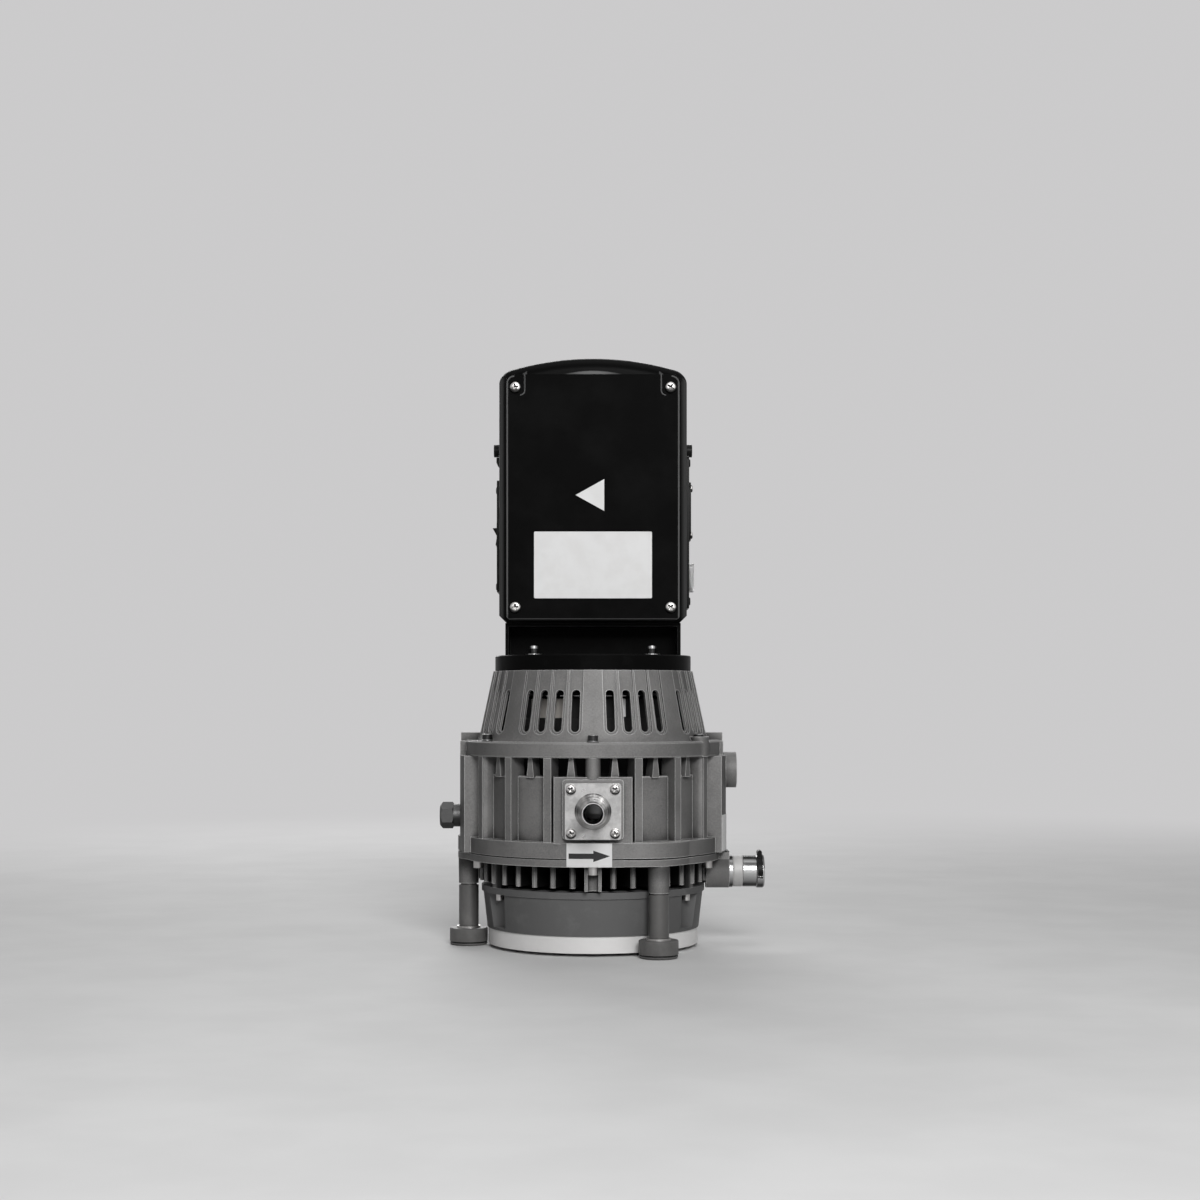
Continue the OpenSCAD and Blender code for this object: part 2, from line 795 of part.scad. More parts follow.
module fixed_scroll() color([0.42, 0.41, 0.4]) {
    difference() {
        union() {
            translate([0, 0, z_band]) cylinder(r = band_r, h = scroll_plate_t - seam_h);
            translate([0, 0, z_band]) cylinder(r = band_r - seam_d, h = scroll_plate_t);
            translate([0, 0, z_split - over]) spiral(wrap_t, wrap_h + over);
            translate([0, 0, z_fin]) cylinder(r = hub_core_r, h = fin_h + over);
            for (i = [0:fin_count - 1]) rotate([0, 0, i * 360 / fin_count]) {
                tip = i % 12 == 3 ? leg_circle_r - leg_d / 3 : fin_tip_r;
                translate([0, 0, z_fin]) linear_extrude(fin_h + over) polygon([
                    [-fin_t / 2, -fin_root_r], [-fin_t / 2, -tip + fin_t / 3], [-fin_t / 5, -tip],
                    [fin_t / 5, -tip], [fin_t / 2, -tip + fin_t / 3], [fin_t / 2, -fin_root_r]]);
            }
            for (a = base_post_angles) at(a, base_post_circle_r, z_base_top)
                cylinder(r = base_post_r, h = z_band - z_base_top + over);
            on_legs() translate([0, 0, z_leg_top])
                cylinder(r1 = leg_d / 2, r2 = leg_lug_r, h = leg_boss_h + over);
            leg_pads(z_band + slip, scroll_plate_t - seam_h - 2 * slip);
            translate([-driver_boss_w / 2, -scroll_bolt_circle_r - 1, z_fin - fin_gap / 2])
                cube([driver_boss_w, scroll_bolt_circle_r - fin_root_r, z_band - z_fin + fin_gap / 2 + over]);
            translate([0, exhaust_y, exhaust_z]) rod_x(duct_r, duct_start_x, exhaust_face_x - over);
            translate([0, exhaust_y, exhaust_z]) rod_x(exhaust_boss_r, boss_start_x, exhaust_face_x);
            translate([boss_start_x + slip, exhaust_y - exhaust_boss_r + slip, exhaust_z])
                cube([exhaust_face_x - boss_start_x - 2 * slip, 2 * (exhaust_boss_r - slip),
                    z_split - slip - exhaust_z]);
        }
        translate([0, 0, exhaust_z]) cylinder(r = port_r, h = z_split - exhaust_z + over);
        translate([0, exhaust_y, exhaust_z]) rod_x(duct_bore_r, -port_r - 2, exhaust_face_x + over);
        translate([0, exhaust_y, exhaust_z])
            rod_x(plug_in_r, exhaust_face_x - plug_in_len, exhaust_face_x + over);
        for (a = scroll_bolt_angles) at(a, scroll_bolt_circle_r, z_band - over)
            cylinder(r = m5_hole_r, h = scroll_plate_t + 2 * over);
        for (a = scroll_bolt_angles) at(a, scroll_bolt_circle_r, z_leg_top - over)
            cylinder(r = driver_groove_r, h = z_band - z_leg_top + over);
        for (a = base_post_angles) at(a, base_post_circle_r, z_base_top - over)
            cylinder(r = m5_r, h = base_screw_len - base_rim_h + over + slip);
        on_legs() translate([0, 0, z_leg_top - over]) cylinder(r = leg_spigot_r, h = leg_spigot_h + over);
        translate([0, 0, z_wrap_top - seal_groove_h]) spiral(seal_groove_w, seal_groove_h + over);
    }
}

module fixed_tip_seal() color([0.9, 0.88, 0.82])
    translate([0, 0, z_wrap_top - seal_groove_h])
        spiral(seal_groove_w - 2 * seat_gap, seal_groove_h + seal_proud);

// The orbiting scroll stands half a turn round from the fixed one, one crank throw to the right
module in_orbit() {
    translate([orbit_r, 0, 0]) rotate([0, 0, 180]) children();
}

module at_guides(z) {
    for (a = guide_angles) translate([guide_circle_r * cos(a), guide_circle_r * sin(a), z]) children();
}

module orbiting_scroll() color([0.66, 0.66, 0.67]) difference() {
    union() {
        in_orbit() {
            translate([0, 0, z_orbit]) cylinder(r = orbit_plate_r, h = orbit_plate_t);
            translate([0, 0, z_split + wrap_gap]) spiral(wrap_t, wrap_h + over);
            translate([0, 0, z_orbit_top - over]) cylinder(r = hub_r, h = hub_h + over);
        }
        translate([orbit_r, 0, 0]) at_guides(z_orbit_top - over)
            cylinder(r = guide_boss_r, h = guide_boss_h + over);
    }
    translate([orbit_r, 0, z_hub_top - crank_bearing_h])
        cylinder(r = crank_bearing_r, h = crank_bearing_h + over);
    translate([orbit_r, 0, 0]) at_guides(z_guide_low - guide_bearing_h)
        cylinder(r = guide_bearing_r, h = guide_bearing_h + over);
    in_orbit() translate([0, 0, z_split + wrap_gap - over]) spiral(seal_groove_w, seal_groove_h + over);
}

module orbiting_tip_seal() color([0.9, 0.88, 0.82])
    in_orbit() translate([0, 0, z_split + wrap_gap - seal_proud])
        spiral(seal_groove_w - 2 * seat_gap, seal_groove_h + seal_proud);

module crank_bearing() color([0.7, 0.7, 0.72]) translate([orbit_r, 0, 0])
    ring(crank_bearing_r, crank_pin_r + run_gap, z_hub_top - crank_bearing_h, crank_bearing_h);

// Small bearing of the guide cranks
module guide_bearing() {
    ring(guide_bearing_r, guide_pin_r + run_gap, 0, guide_bearing_h);
}

module guide_bearings_lower() color([0.7, 0.7, 0.72])
    translate([orbit_r, 0, 0]) at_guides(z_guide_low - guide_bearing_h) guide_bearing();

module guide_bearings_upper() color([0.7, 0.7, 0.72]) at_guides(z_guide_up) guide_bearing();

module guide_crank(i) color([0.55, 0.56, 0.58])
    translate([guide_circle_r * cos(guide_angles[i]), guide_circle_r * sin(guide_angles[i]), 0]) union() {
        translate([0, 0, z_guide_disc]) cylinder(r = guide_disc_r, h = guide_disc_t);
        translate([0, 0, z_guide_disc + guide_disc_t - over])
            cylinder(r = guide_pin_r, h = guide_bearing_h + over);
        translate([orbit_r, 0, z_guide_disc - guide_bearing_h])
            cylinder(r = guide_pin_r, h = guide_bearing_h + over);
    }

module guide_crank_1() guide_crank(0);
module guide_crank_2() guide_crank(1);
module guide_crank_3() guide_crank(2);

module crankshaft() color([0.6, 0.61, 0.63]) {
    z_seat = z_main_bearing + main_bearing_h + 1;
    z_rear = z_shield_top - rear_bearing_h - 1;
    union() {
        translate([orbit_r, 0, z_hub_top - crank_bearing_h + 0.4])
            cylinder(r = crank_pin_r, h = crank_bearing_h + crank_gap);
        translate([0, 0, z_crank_disc]) cylinder(r = crank_disc_r, h = crank_disc_t);
        translate([0, 0, z_crank_disc]) cylinder(r = journal_r, h = z_seat - z_crank_disc);
        translate([0, 0, z_seat]) cylinder(r = rotor_seat_r, h = z_stator + rotor_lift + rotor_h - z_seat);
        translate([0, 0, z_seat]) cylinder(r = journal_r - 2, h = z_rear - z_seat);
        translate([0, 0, z_rear - over]) cylinder(r = rear_journal_r, h = z_shield_top - z_rear + 2 * over);
        translate([0, 0, z_shield_top]) cylinder(r = fan_seat_r, h = z_motor_fan + motor_fan_h - z_shield_top);
    }
}

// A wedge of the plane on the side away from the crank pin
module weight_wedge(r_out, r_in) {
    difference() {
        intersection() {
            circle(r_out);
            polygon([[0, 0], [-2 * r_out * cos(weight_half_angle), 2 * r_out * sin(weight_half_angle)],
                [-2 * r_out, 0],
                [-2 * r_out * cos(weight_half_angle), -2 * r_out * sin(weight_half_angle)]]);
        }
        circle(r_in);
    }
}

module counterweight() color([0.5, 0.47, 0.4]) union() {
    translate([0, 0, z_crank_disc]) linear_extrude(crank_disc_t) weight_wedge(weight_r, crank_disc_r);
    translate([0, 0, z_crank_disc - weight_drop]) linear_extrude(weight_drop + over)
        weight_wedge(weight_r, weight_in_r);
}

module shaft_seal() color([0.12, 0.12, 0.12])
    ring(seal_r, journal_r + run_gap, z_main_bearing - seal_h, seal_h);

module main_bearing() color([0.7, 0.7, 0.72])
    ring(main_bearing_r, journal_r + run_gap, z_main_bearing, main_bearing_h);

module rotor_core() color([0.5, 0.5, 0.52]) ring(rotor_r, rotor_seat_r, z_stator + rotor_lift, rotor_h);

module tie_bolt_places(z) {
    for (i = [0:tie_count - 1]) at(45 + i * 360 / tie_count, tie_bolt_circle_r, z) children();
}

module stator_core() color([0.45, 0.46, 0.48]) difference() {
    ring(stator_r, rotor_r + air_gap, z_stator, stator_h);
    tie_bolt_places(z_stator - over) cylinder(r = tie_bolt_r + bolt_play, h = stator_h + 2 * over);
}

// Rounded coil ends above and below the stator's core
module stator_windings() color([0.72, 0.42, 0.2]) for (z = [z_stator - winding_h, z_stator_top])
    rotate_extrude() polygon(round_box((winding_in_r + winding_out_r) / 2, z + winding_h / 2,
        winding_out_r - winding_in_r, winding_h, 2));

module motor_end_shield() color([0.6, 0.6, 0.6]) difference() {
    union() {
        ring(stator_r, stator_r - shield_wall, z_stator_top, shield_h);
        ring(guard_ring_r, guard_ring_r - guard_ring_t, z_shield_top - over,
            motor_fan_gap - guard_ring_gap + over);
        translate([0, 0, z_shield_top - shield_t]) cylinder(r = stator_r - over, h = shield_t);
        translate([0, 0, z_shield_top - rear_bearing_h - 2]) cylinder(r = rear_boss_r, h = rear_bearing_h + 2);
    }
    translate([0, 0, z_shield_top - rear_bearing_h]) cylinder(r = rear_bearing_r, h = rear_bearing_h + over);
    translate([0, 0, z_stator_top]) cylinder(r = journal_r, h = shield_h);
    tie_bolt_places(z_stator_top - over) cylinder(r = tie_bolt_r + bolt_play, h = shield_h + 2 * over);
}

module rear_bearing() color([0.7, 0.7, 0.72])
    ring(rear_bearing_r, rear_journal_r + run_gap, z_shield_top - rear_bearing_h, rear_bearing_h);

module motor_tie_bolts() color([0.75, 0.75, 0.74]) tie_bolt_places(z_shield_top)
    socket_screw(tie_bolt_r, tie_head_r, tie_head_h + 0.2, z_shield_top - z_stator + seat_h - 2);

module motor_fan() color([0.85, 0.85, 0.84]) difference() {
    union() {
        translate([0, 0, z_motor_fan]) cylinder(r = motor_fan_hub_r, h = motor_fan_h);
        translate([0, 0, z_motor_fan]) cylinder(r = motor_fan_r, h = motor_fan_disc_t);
        for (i = [0:motor_fan_blades - 1]) rotate([0, 0, i * 360 / motor_fan_blades])
            translate([motor_fan_hub_r - over, -motor_fan_blade_t / 2, z_motor_fan])
                cube([motor_fan_r - motor_fan_hub_r, motor_fan_blade_t, motor_fan_h]);
    }
    translate([0, 0, z_motor_fan - over]) cylinder(r = fan_seat_r, h = motor_fan_h + 2 * over);
}

module housing_outside() {
    translate([0, 0, z_split]) cylinder(r = band_r, h = housing_flange_t);
    translate([0, 0, z_split]) cylinder(r = wall_r, h = z_window - z_split);
    leg_pads(z_split + slip, housing_flange_t - 2 * slip);
    for (i = [1:rib_count - 1]) rotate([0, 0, i * 360 / rib_count])
        translate([-rib_t / 2, -rib_r, z_wall - over])
            cube([rib_t, rib_r - rib_in_r, z_cover - z_wall + over]);
    for (a = pillar_angles) rotate([0, 0, a]) {
        z0 = a == 0 ? z_window - over : z_wall - over;
        half = a == 0 ? front_pillar_w / 2 : pillar_w / 2;
        mid = rib_r - half - 0.2;
        translate([-half, -mid, z0]) cube([2 * half, mid - rib_in_r, z_cover - z0]);
        translate([0, -mid, z0]) cylinder(r = half, h = z_cover - z0);
    }
    for (i = [0:rib_count - 1]) if (i % 9 != 4) rotate([0, 0, (i + 0.5) * 360 / rib_count])
        slab(-rib_in_r, short_fin_r - rib_in_r) polygon([
            [-short_fin_foot_w / 2, z_window - over], [short_fin_foot_w / 2, z_window - over],
            [short_fin_top_w / 2, z_cover], [-short_fin_top_w / 2, z_cover]]);
    translate([0, 0, z_wall - over]) linear_extrude(z_window - z_wall + over / 2) intersection() {
        circle(relief_panel_r);
        for (s = [-1, 1]) translate([s * (relief_panel_x + relief_panel_w / 2), 0])
            square([relief_panel_w, 2 * wall_r + 20], center = true);
    }
    intersection() {
        translate([0, 0, z_split]) cylinder(r = side_pad_r, h = z_cover - z_split);
        for (s = [-1, 1]) translate([s * side_pad_r / 2 + s * rib_in_r / 2 - 12, -side_pad_y, z_split])
            cube([24, 2 * side_pad_y, z_cover - z_split]);
    }
    slab(-rib_in_r, panel_y - rib_in_r) polygon([[-panel_w / 2, z_wall - over],
        [panel_w / 2, z_wall - over], [panel_w / 2, z_window], [-panel_w / 2, z_window]]);
    slab(-rib_in_r, inlet_pad_y - rib_in_r)
        polygon(round_box(0, inlet_z + inlet_pad_up, inlet_pad_w, inlet_pad_h, 3));
    translate([0, 0, port_boss_z]) rod_x(port_boss_r, rib_in_r, port_boss_x);
}

module pump_housing() color([0.44, 0.43, 0.42]) {
    difference() {
        housing_outside();
        translate([0, 0, z_split - over]) cylinder(r = chamber_r, h = z_window - z_split + 2 * over);
        translate([0, 0, z_window]) cylinder(r = rib_in_r, h = window_h + over);
        translate([rib_in_r - over, -side_pad_y, z_cover])
            cube([right_lug_x + 2 * over - rib_in_r, 2 * side_pad_y, port_boss_r]);
        translate([0, 0, inlet_z]) rod_front(inlet_bore_r + 0.6, chamber_r - 2, inlet_pad_y + over);
        for (x = [-1, 1], z = [-1, 1])
            translate([x * inlet_screw_pitch / 2, 0, inlet_z + z * inlet_screw_pitch / 2])
                rod_front(m5_r, inlet_pad_y - inlet_screw_len + inlet_plate_t, inlet_pad_y + over);
        for (a = scroll_bolt_angles) at(a, scroll_bolt_circle_r, z_split - over)
            cylinder(r = m5_r, h = scroll_bolt_len - scroll_plate_t + over + slip);
        for (a = pillar_angles) at(a, cover_bolt_circle_r, z_cover + cover_flange_t - cover_bolt_len)
            cylinder(r = m5_r, h = cover_bolt_len);
        translate([0, 0, plug_z]) rod_x(plug_neck_r, -side_pad_r - over, -side_pad_r + plug_thread_len);
        translate([0, 0, port_boss_z]) rod_x(port_bore_r, port_boss_x - port_bore_depth, port_boss_x + over);
    }
    difference() {
        union() {
            translate([0, 0, z_web]) cylinder(r = bearing_boss_r, h = z_main_bearing + main_bearing_h - z_web);
            translate([0, 0, z_web]) cylinder(r = chamber_r + over, h = web_t);
            at_guides(z_guide_up) cylinder(r = guide_boss_r, h = z_web - z_guide_up + over);
            ring(stator_r + seat_wall, seat_in_r, z_window - over, seat_h + seat_rise + over);
        }
        translate([0, 0, z_main_bearing]) cylinder(r = main_bearing_r, h = main_bearing_h + over);
        translate([0, 0, z_web - over]) cylinder(r = seal_r, h = z_main_bearing - z_web + 2 * over);
        at_guides(z_guide_up - over) cylinder(r = guide_bearing_r, h = guide_bearing_h + over);
        translate([0, 0, z_stator]) cylinder(r = stator_r + seat_gap, h = seat_rise + over);
        tie_bolt_places(z_window + 2) cylinder(r = tie_bolt_r, h = seat_h);
    }
}

module inlet_screw_places() {
    for (x = [-1, 1], z = [-1, 1])
        translate([x * inlet_screw_pitch / 2, 0, inlet_z + z * inlet_screw_pitch / 2]) children();
}

module inlet_gasket() color([0.1, 0.1, 0.1]) difference() {
    slab(-inlet_pad_y, gasket_t) polygon(round_box(0, inlet_z, inlet_plate_w, inlet_plate_w, 2.5));
    translate([0, 0, inlet_z]) rod_front(inlet_bore_r + 2, inlet_pad_y - over, plate_y + over);
    inlet_screw_places() rod_front(m5_hole_r, inlet_pad_y - over, plate_y + over);
}

// Square plate with a stepped nozzle that narrows towards its mouth
module inlet_flange() color([0.84, 0.84, 0.82]) {
    front = plate_y + inlet_plate_t;
    difference() {
        union() {
            slab(-plate_y, inlet_plate_t) polygon(round_box(0, inlet_z, inlet_plate_w, inlet_plate_w, 2.5));
            translate([0, -front, inlet_z]) rotate([90, 0, 0]) rotate_extrude() polygon(concat(
                [[0, -over], [nozzle_root_r, -over], [nozzle_root_r, 1.6]],
                [[nozzle_root_r - 0.6, 2.2], [nozzle_root_r - 2.2, nozzle_len * 0.3]],
                [[nozzle_root_r - 2.8, nozzle_len * 0.34], [nozzle_tip_r + 0.4, nozzle_len - 3]],
                [[nozzle_tip_r, nozzle_len - 1], [nozzle_tip_r - 0.5, nozzle_len], [0, nozzle_len]]));
        }
        translate([0, 0, inlet_z]) rod_front(inlet_bore_r, plate_y - over, front + nozzle_len + over);
        translate([0, -front - nozzle_len - over, inlet_z]) rotate([-90, 0, 0])
            cylinder(r1 = inlet_bore_r + mouth_chamfer + over, r2 = inlet_bore_r, h = mouth_chamfer + over);
        inlet_screw_places() rod_front(m5_hole_r, plate_y - over, front + over);
    }
}

module inlet_screws() color([0.8, 0.8, 0.78]) inlet_screw_places()
    translate([0, -plate_y - inlet_plate_t, 0]) rotate([90, 0, 0])
        pan_screw(m5_r, m5_head_r, inlet_head_h, inlet_screw_len);

// Hexagon-headed plug in the left side pad
module ballast_plug() color([0.3, 0.3, 0.31]) translate([-side_pad_r, 0, plug_z]) rotate([0, -90, 0]) union() {
    translate([0, 0, -plug_thread_len + slip]) cylinder(r = plug_neck_r, h = plug_thread_len + plug_neck_len);
    translate([0, 0, plug_neck_len]) intersection() {
        cylinder(r = plug_head_r, h = plug_head_len, $fn = 6);
        rotate_extrude() polygon([[0, 0], [plug_head_r - 1.6, 0], [plug_head_r, 1],
            [plug_head_r, plug_head_len - 2.4], [plug_head_r - 2.6, plug_head_len], [0, plug_head_len]]);
    }
}

module housing_stickers() color([0.86, 0.86, 0.86]) {
    rotate([0, 0, -90 - sticker_half_angle - sticker_turn]) rotate_extrude(angle = 2 * sticker_half_angle)
        translate([band_r, z_band + 0.2]) square([label_t, z_wall - z_band - 0.4]);
    rotate([0, 0, -17.5]) rotate_extrude(angle = 13)
        translate([side_pad_r, z_split + 1]) square([label_t, 31]);
}

module exhaust_collar() color([0.74, 0.74, 0.73])
    translate([exhaust_face_x + exhaust_ring_t, exhaust_y, exhaust_z]) rotate([0, 90, 0])
        rotate_extrude() polygon([[stub_r + seat_gap, 0], [collar_r - 0.8, 0], [collar_r, 1.2],
            [collar_r, collar_len - 1.2], [collar_r - 0.8, collar_len], [stub_r + seat_gap, collar_len]]);

module exhaust_coupling() color([0.8, 0.8, 0.8]) translate([0, exhaust_y, exhaust_z]) difference() {
    union() {
        rod_x(plug_in_r, exhaust_face_x - plug_in_len, exhaust_face_x + over);
        rod_x(exhaust_ring_r, exhaust_face_x, exhaust_face_x + exhaust_ring_t);
        rod_x(stub_r, exhaust_face_x, coupling_x + over);
        rod_x(coupling_r, coupling_x, coupling_x + coupling_len - 0.5);
        translate([rim_x, 0, 0]) rotate([0, 90, 0]) rotate_extrude() polygon([
            [0, 0], [coupling_r - 0.5, 0], [coupling_r + rim_out, 1.2],
            [coupling_r + rim_out, rim_len - 1.2], [coupling_r, rim_len], [0, rim_len]]);
    }
    rod_x(exhaust_bore_r, exhaust_face_x - plug_in_len - over, coupling_x + coupling_len + over);
    translate([latch_x - latch_slot_gap, -2 * coupling_r, -latch_low - latch_travel - slip])
        cube([latch_t + 2 * latch_slot_gap, 4 * coupling_r, 3 * coupling_r]);
}

// Thumb plate that rides in the coupling's slot and is pressed down to free a hose tail
module coupling_latch() color([0.1, 0.1, 0.1]) translate([latch_x, exhaust_y, exhaust_z]) difference() {
    union() {
        intersection() {
            rod_x(latch_r, 0, latch_t);
            translate([-over, -2 * latch_r, -latch_low]) cube([latch_t + 2 * over, 4 * latch_r, 3 * latch_r]);
        }
        translate([0, -latch_tab_w / 2, 0])
            cube([latch_t, latch_tab_w, latch_r + latch_tab_rise - latch_t / 2]);
        translate([latch_t / 2, latch_tab_w / 2, latch_r + latch_tab_rise - latch_t / 2])
            rotate([90, 0, 0]) cylinder(r = latch_t / 2, h = latch_tab_w);
    }
    rod_x(exhaust_bore_r + 0.2, -over, latch_t + over);
    translate([0, 0, latch_travel]) rod_x(exhaust_bore_r + 0.2, -over, latch_t + over);
    translate([-over, -exhaust_bore_r - 0.2, 0])
        cube([latch_t + 2 * over, 2 * exhaust_bore_r + 0.4, latch_travel]);
}

cone_slope = atan((cone_foot_r - cone_top_r) / (z_top - z_cone - cone_foot_z));

// A slot outline standing on the cone: width, start above the cone's foot and end below its top
module slot_cut(w, start, end, r_in, depth) {
    len = (z_top - z_cone - start - end) / cos(cone_slope);
    at(0, cone_foot_r, z_cone + cone_foot_z) rotate([-cone_slope, 0, 0])
        slab(r_in, depth) translate([0, (start - cone_foot_z) / cos(cone_slope)]) union() {
            translate([-w / 2, w / 2]) square([w, len - w]);
            translate([0, w / 2]) circle(w / 2);
            translate([0, len - w / 2]) circle(w / 2);
        }
}

module motor_cover() color([0.43, 0.42, 0.41]) difference() {
    union() {
        rotate_extrude() polygon([[chamber_r, z_cover], [band_r - 0.8, z_cover], [band_r, z_cover + 0.8],
            [band_r, z_cone - 1], [band_r - 1, z_cone], [cone_foot_r + fillet_out, z_cone],
            [cone_foot_r + fillet_out / 3, z_cone + fillet_out], [cone_foot_r, z_cone + cone_foot_z],
            [cone_top_r, z_top], [cover_hole_r, z_top], [cover_hole_r, z_top - cover_top_t],
            [cone_top_r - cone_wall, z_top - cover_top_t], [cone_foot_r - cone_wall, z_cone + cone_foot_z],
            [chamber_r, z_cone]]);
        for (x0 = [-left_lug_x, chamber_r + 4]) {
            w = x0 < 0 ? left_lug_x - chamber_r - 4 : right_lug_x - chamber_r - 4;
            translate([x0, -lug_w / 2, z_cover]) cube([w, lug_w / 2 + over, cover_flange_t - 0.5]);
            translate([x0, 0, z_cover]) cube([w, lug_w / 2, lug_h]);
        }
        at(tall_boss_angle, cover_bolt_circle_r, z_cover)
            cylinder(r = tall_boss_r, h = cover_flange_t + tall_boss_h);
    }
    for (a = [0:slot_step:359]) if (a % plain_step != 0) rotate([0, 0, a]) {
        slot_cut(groove_w, groove_start, groove_end, groove_depth, groove_depth + 2 * over);
        slot_cut(slot_w, slot_start, slot_end, cone_wall + 3, cone_wall + 6);
    }
    for (a = pillar_angles) at(a, cover_bolt_circle_r, 0) {
        translate([0, 0, z_cover - over]) cylinder(r = m5_hole_r, h = cover_flange_t + tall_boss_h + 2 * over);
        translate([0, 0, z_cone]) cylinder(r = m5_washer_r + slip, h = m5_head_h + 4);
    }
    for (x = [-1, 1], y = [-1, 1])
        translate([x * bracket_screw_x, y * bracket_screw_y, z_top - cover_top_t - over])
            cylinder(r = bracket_screw_r, h = cover_top_t + 2 * over);
}

module cover_bolts() color([0.8, 0.79, 0.76]) for (a = pillar_angles)
    at(a, cover_bolt_circle_r, z_cone) union() {
        cylinder(r = m5_washer_r, h = m5_washer_t + 0.1);
        translate([0, 0, m5_washer_t])
            socket_screw(m5_r, m5_head_r, m5_head_h, cover_bolt_len + m5_washer_t - slip);
    }

module bracket_screw_places(z) {
    for (x = [-1, 1], y = [-1, 1]) translate([x * bracket_screw_x, y * bracket_screw_y, z]) children();
}

module top_plate() color([0.1, 0.1, 0.1]) translate([0, 0, z_top]) difference() {
    rotate_extrude() polygon([[cable_hole_r, 0], [top_plate_r - 0.6, 0], [top_plate_r, 0.6],
        [top_plate_r, top_plate_t - 0.8], [top_plate_r - 0.8, top_plate_t], [cable_hole_r, top_plate_t]]);
    bracket_screw_places(-over) cylinder(r = bracket_screw_r + bolt_play, h = top_plate_t + 2 * over);
    translate([-bracket_w / 2 - seat_gap, -bracket_d / 2 - seat_gap, top_plate_t - bracket_t])
        cube([bracket_w + 2 * seat_gap, bracket_d + 2 * seat_gap, bracket_t + over]);
}

module box_bracket() color([0.08, 0.08, 0.08]) {
    half = bracket_w / 2;
    z_foot = z_neck - bracket_t;
    difference() {
        union() {
            for (z = [z_foot, z_box - bracket_t]) translate([-half, -bracket_d / 2, z])
                cube([bracket_w, bracket_d, bracket_t]);
            for (x = [-half, half - bracket_t]) translate([x, -bracket_d / 2, z_foot])
                cube([bracket_t, bracket_d, z_box - z_foot]);
            translate([-half, bracket_web_y, z_foot]) cube([bracket_w, bracket_t, z_box - z_foot]);
        }
        bracket_screw_places(z_foot - over) cylinder(r = bracket_screw_r + bolt_play, h = bracket_t + 2 * over);
        translate([0, cable_hole_y, z_foot - over])
            cylinder(r = cable_hole_r, h = z_box - z_foot + 2 * over);
    }
}

module bracket_screws() color([0.7, 0.7, 0.7]) bracket_screw_places(z_neck) union() {
    cylinder(r = bracket_washer_r, h = bracket_washer_t);
    translate([0, 0, bracket_washer_t]) socket_screw(bracket_screw_r, bracket_head_r, bracket_head_h,
        bracket_washer_t + top_plate_t + bracket_screw_reach);
}

arch_r = ((box_w / 2) * (box_w / 2) + arch_rise * arch_rise) / (2 * arch_rise);

// Front outline of the box in X and Z, drawn in by g: chamfered foot, round shoulders, arched top
function box_outline(g) =
    let (w = box_w / 2 - g, r = box_corner_r - g, cz = z_crown - arch_r,
        sz = cz + sqrt(pow(arch_r - box_corner_r, 2) - pow(box_w / 2 - box_corner_r, 2)),
        a = atan2(sz - cz, box_w / 2 - box_corner_r), c = box_chamfer)
    concat([[-w + c, z_box + g], [w - c, z_box + g], [w, z_box + g + c]],
        arc(w - r, sz, r, 0, a, 5), arc(0, cz, arch_r - g, a, 180 - a, 24),
        arc(-w + r, sz, r, 180 - a, 180, 5), [[-w, z_box + g + c]]);

lid_cz = lid_z + lid_h / 2;

module lid_screw_places(y) {
    for (x = [-1, 1], z = [-1, 1])
        translate([x * (lid_w / 2 - lid_screw_in_x), y, lid_cz + z * (lid_h / 2 - lid_screw_in_z)]) children();
}

module box_shell() color([0.07, 0.07, 0.075]) {
    difference() {
        union() {
            slab(box_back_y, box_d - front_step_d) polygon(box_outline(0));
            slab(box_front_y + front_step_d + over, front_step_d + over) polygon(box_outline(front_step_in));
        }
        difference() {
            slab(box_back_y - box_wall, box_d - 2 * box_wall) polygon(box_outline(box_wall + front_step_in));
            lid_screw_places(box_front_y) rotate([-90, 0, 0])
                cylinder(r = lid_post_r, h = lid_post_len + box_wall);
        }
        slab(box_front_y + box_wall + over, box_wall + 2 * over)
            polygon(round_box(0, lid_cz, lid_w - 2 * frame_in, lid_h - 2 * frame_in, 6));
        lid_screw_places(box_front_y - over) rotate([-90, 0, 0])
            cylinder(r = lid_screw_r, h = lid_screw_len - lid_t - lid_gasket_t + over + slip);
        side_slab(side_x - box_wall - front_step_in - over, box_wall + front_step_in + 2 * over)
            polygon(round_box(0, socket_z, socket_body_y + 0.4, socket_body_z + 0.4, 1));
        side_slab(side_x - box_wall - front_step_in - over, box_wall + front_step_in + 2 * over)
            polygon(round_box(0, breaker_z, breaker_body_w + 0.4, breaker_body_w + 0.4, 1));
        side_slab(-side_x - over, box_wall + front_step_in + 2 * over)
            polygon(round_box(0, switch_z, switch_body_y + 0.4, switch_body_z + 0.4, 1));
        for (s = [-1, 1]) translate([0, side_screw_y, side_screw_z])
            rotate([0, 0, s > 0 ? 0 : 180]) rod_x(m5_r, side_x - box_wall - front_step_in, side_x + over);
        panel_screw_spots(side_x - box_wall, right_panel_z, right_panel_h) rod_x(small_r, 0, box_wall + over);
        panel_screw_spots(-side_x - over, left_panel_z, left_panel_h) rod_x(small_r, 0, box_wall + over);
        translate([0, cable_hole_y, z_box - over])
            cylinder(r = cable_hole_r, h = box_wall + front_step_in + 2 * over);
    }
}

// The lid's front outline inside its stepped rim
module lid_face() {
    polygon(round_box(0, lid_cz, lid_w - 2 * lid_edge_in, lid_h - 2 * lid_edge_in, lid_corner_r - 1));
}

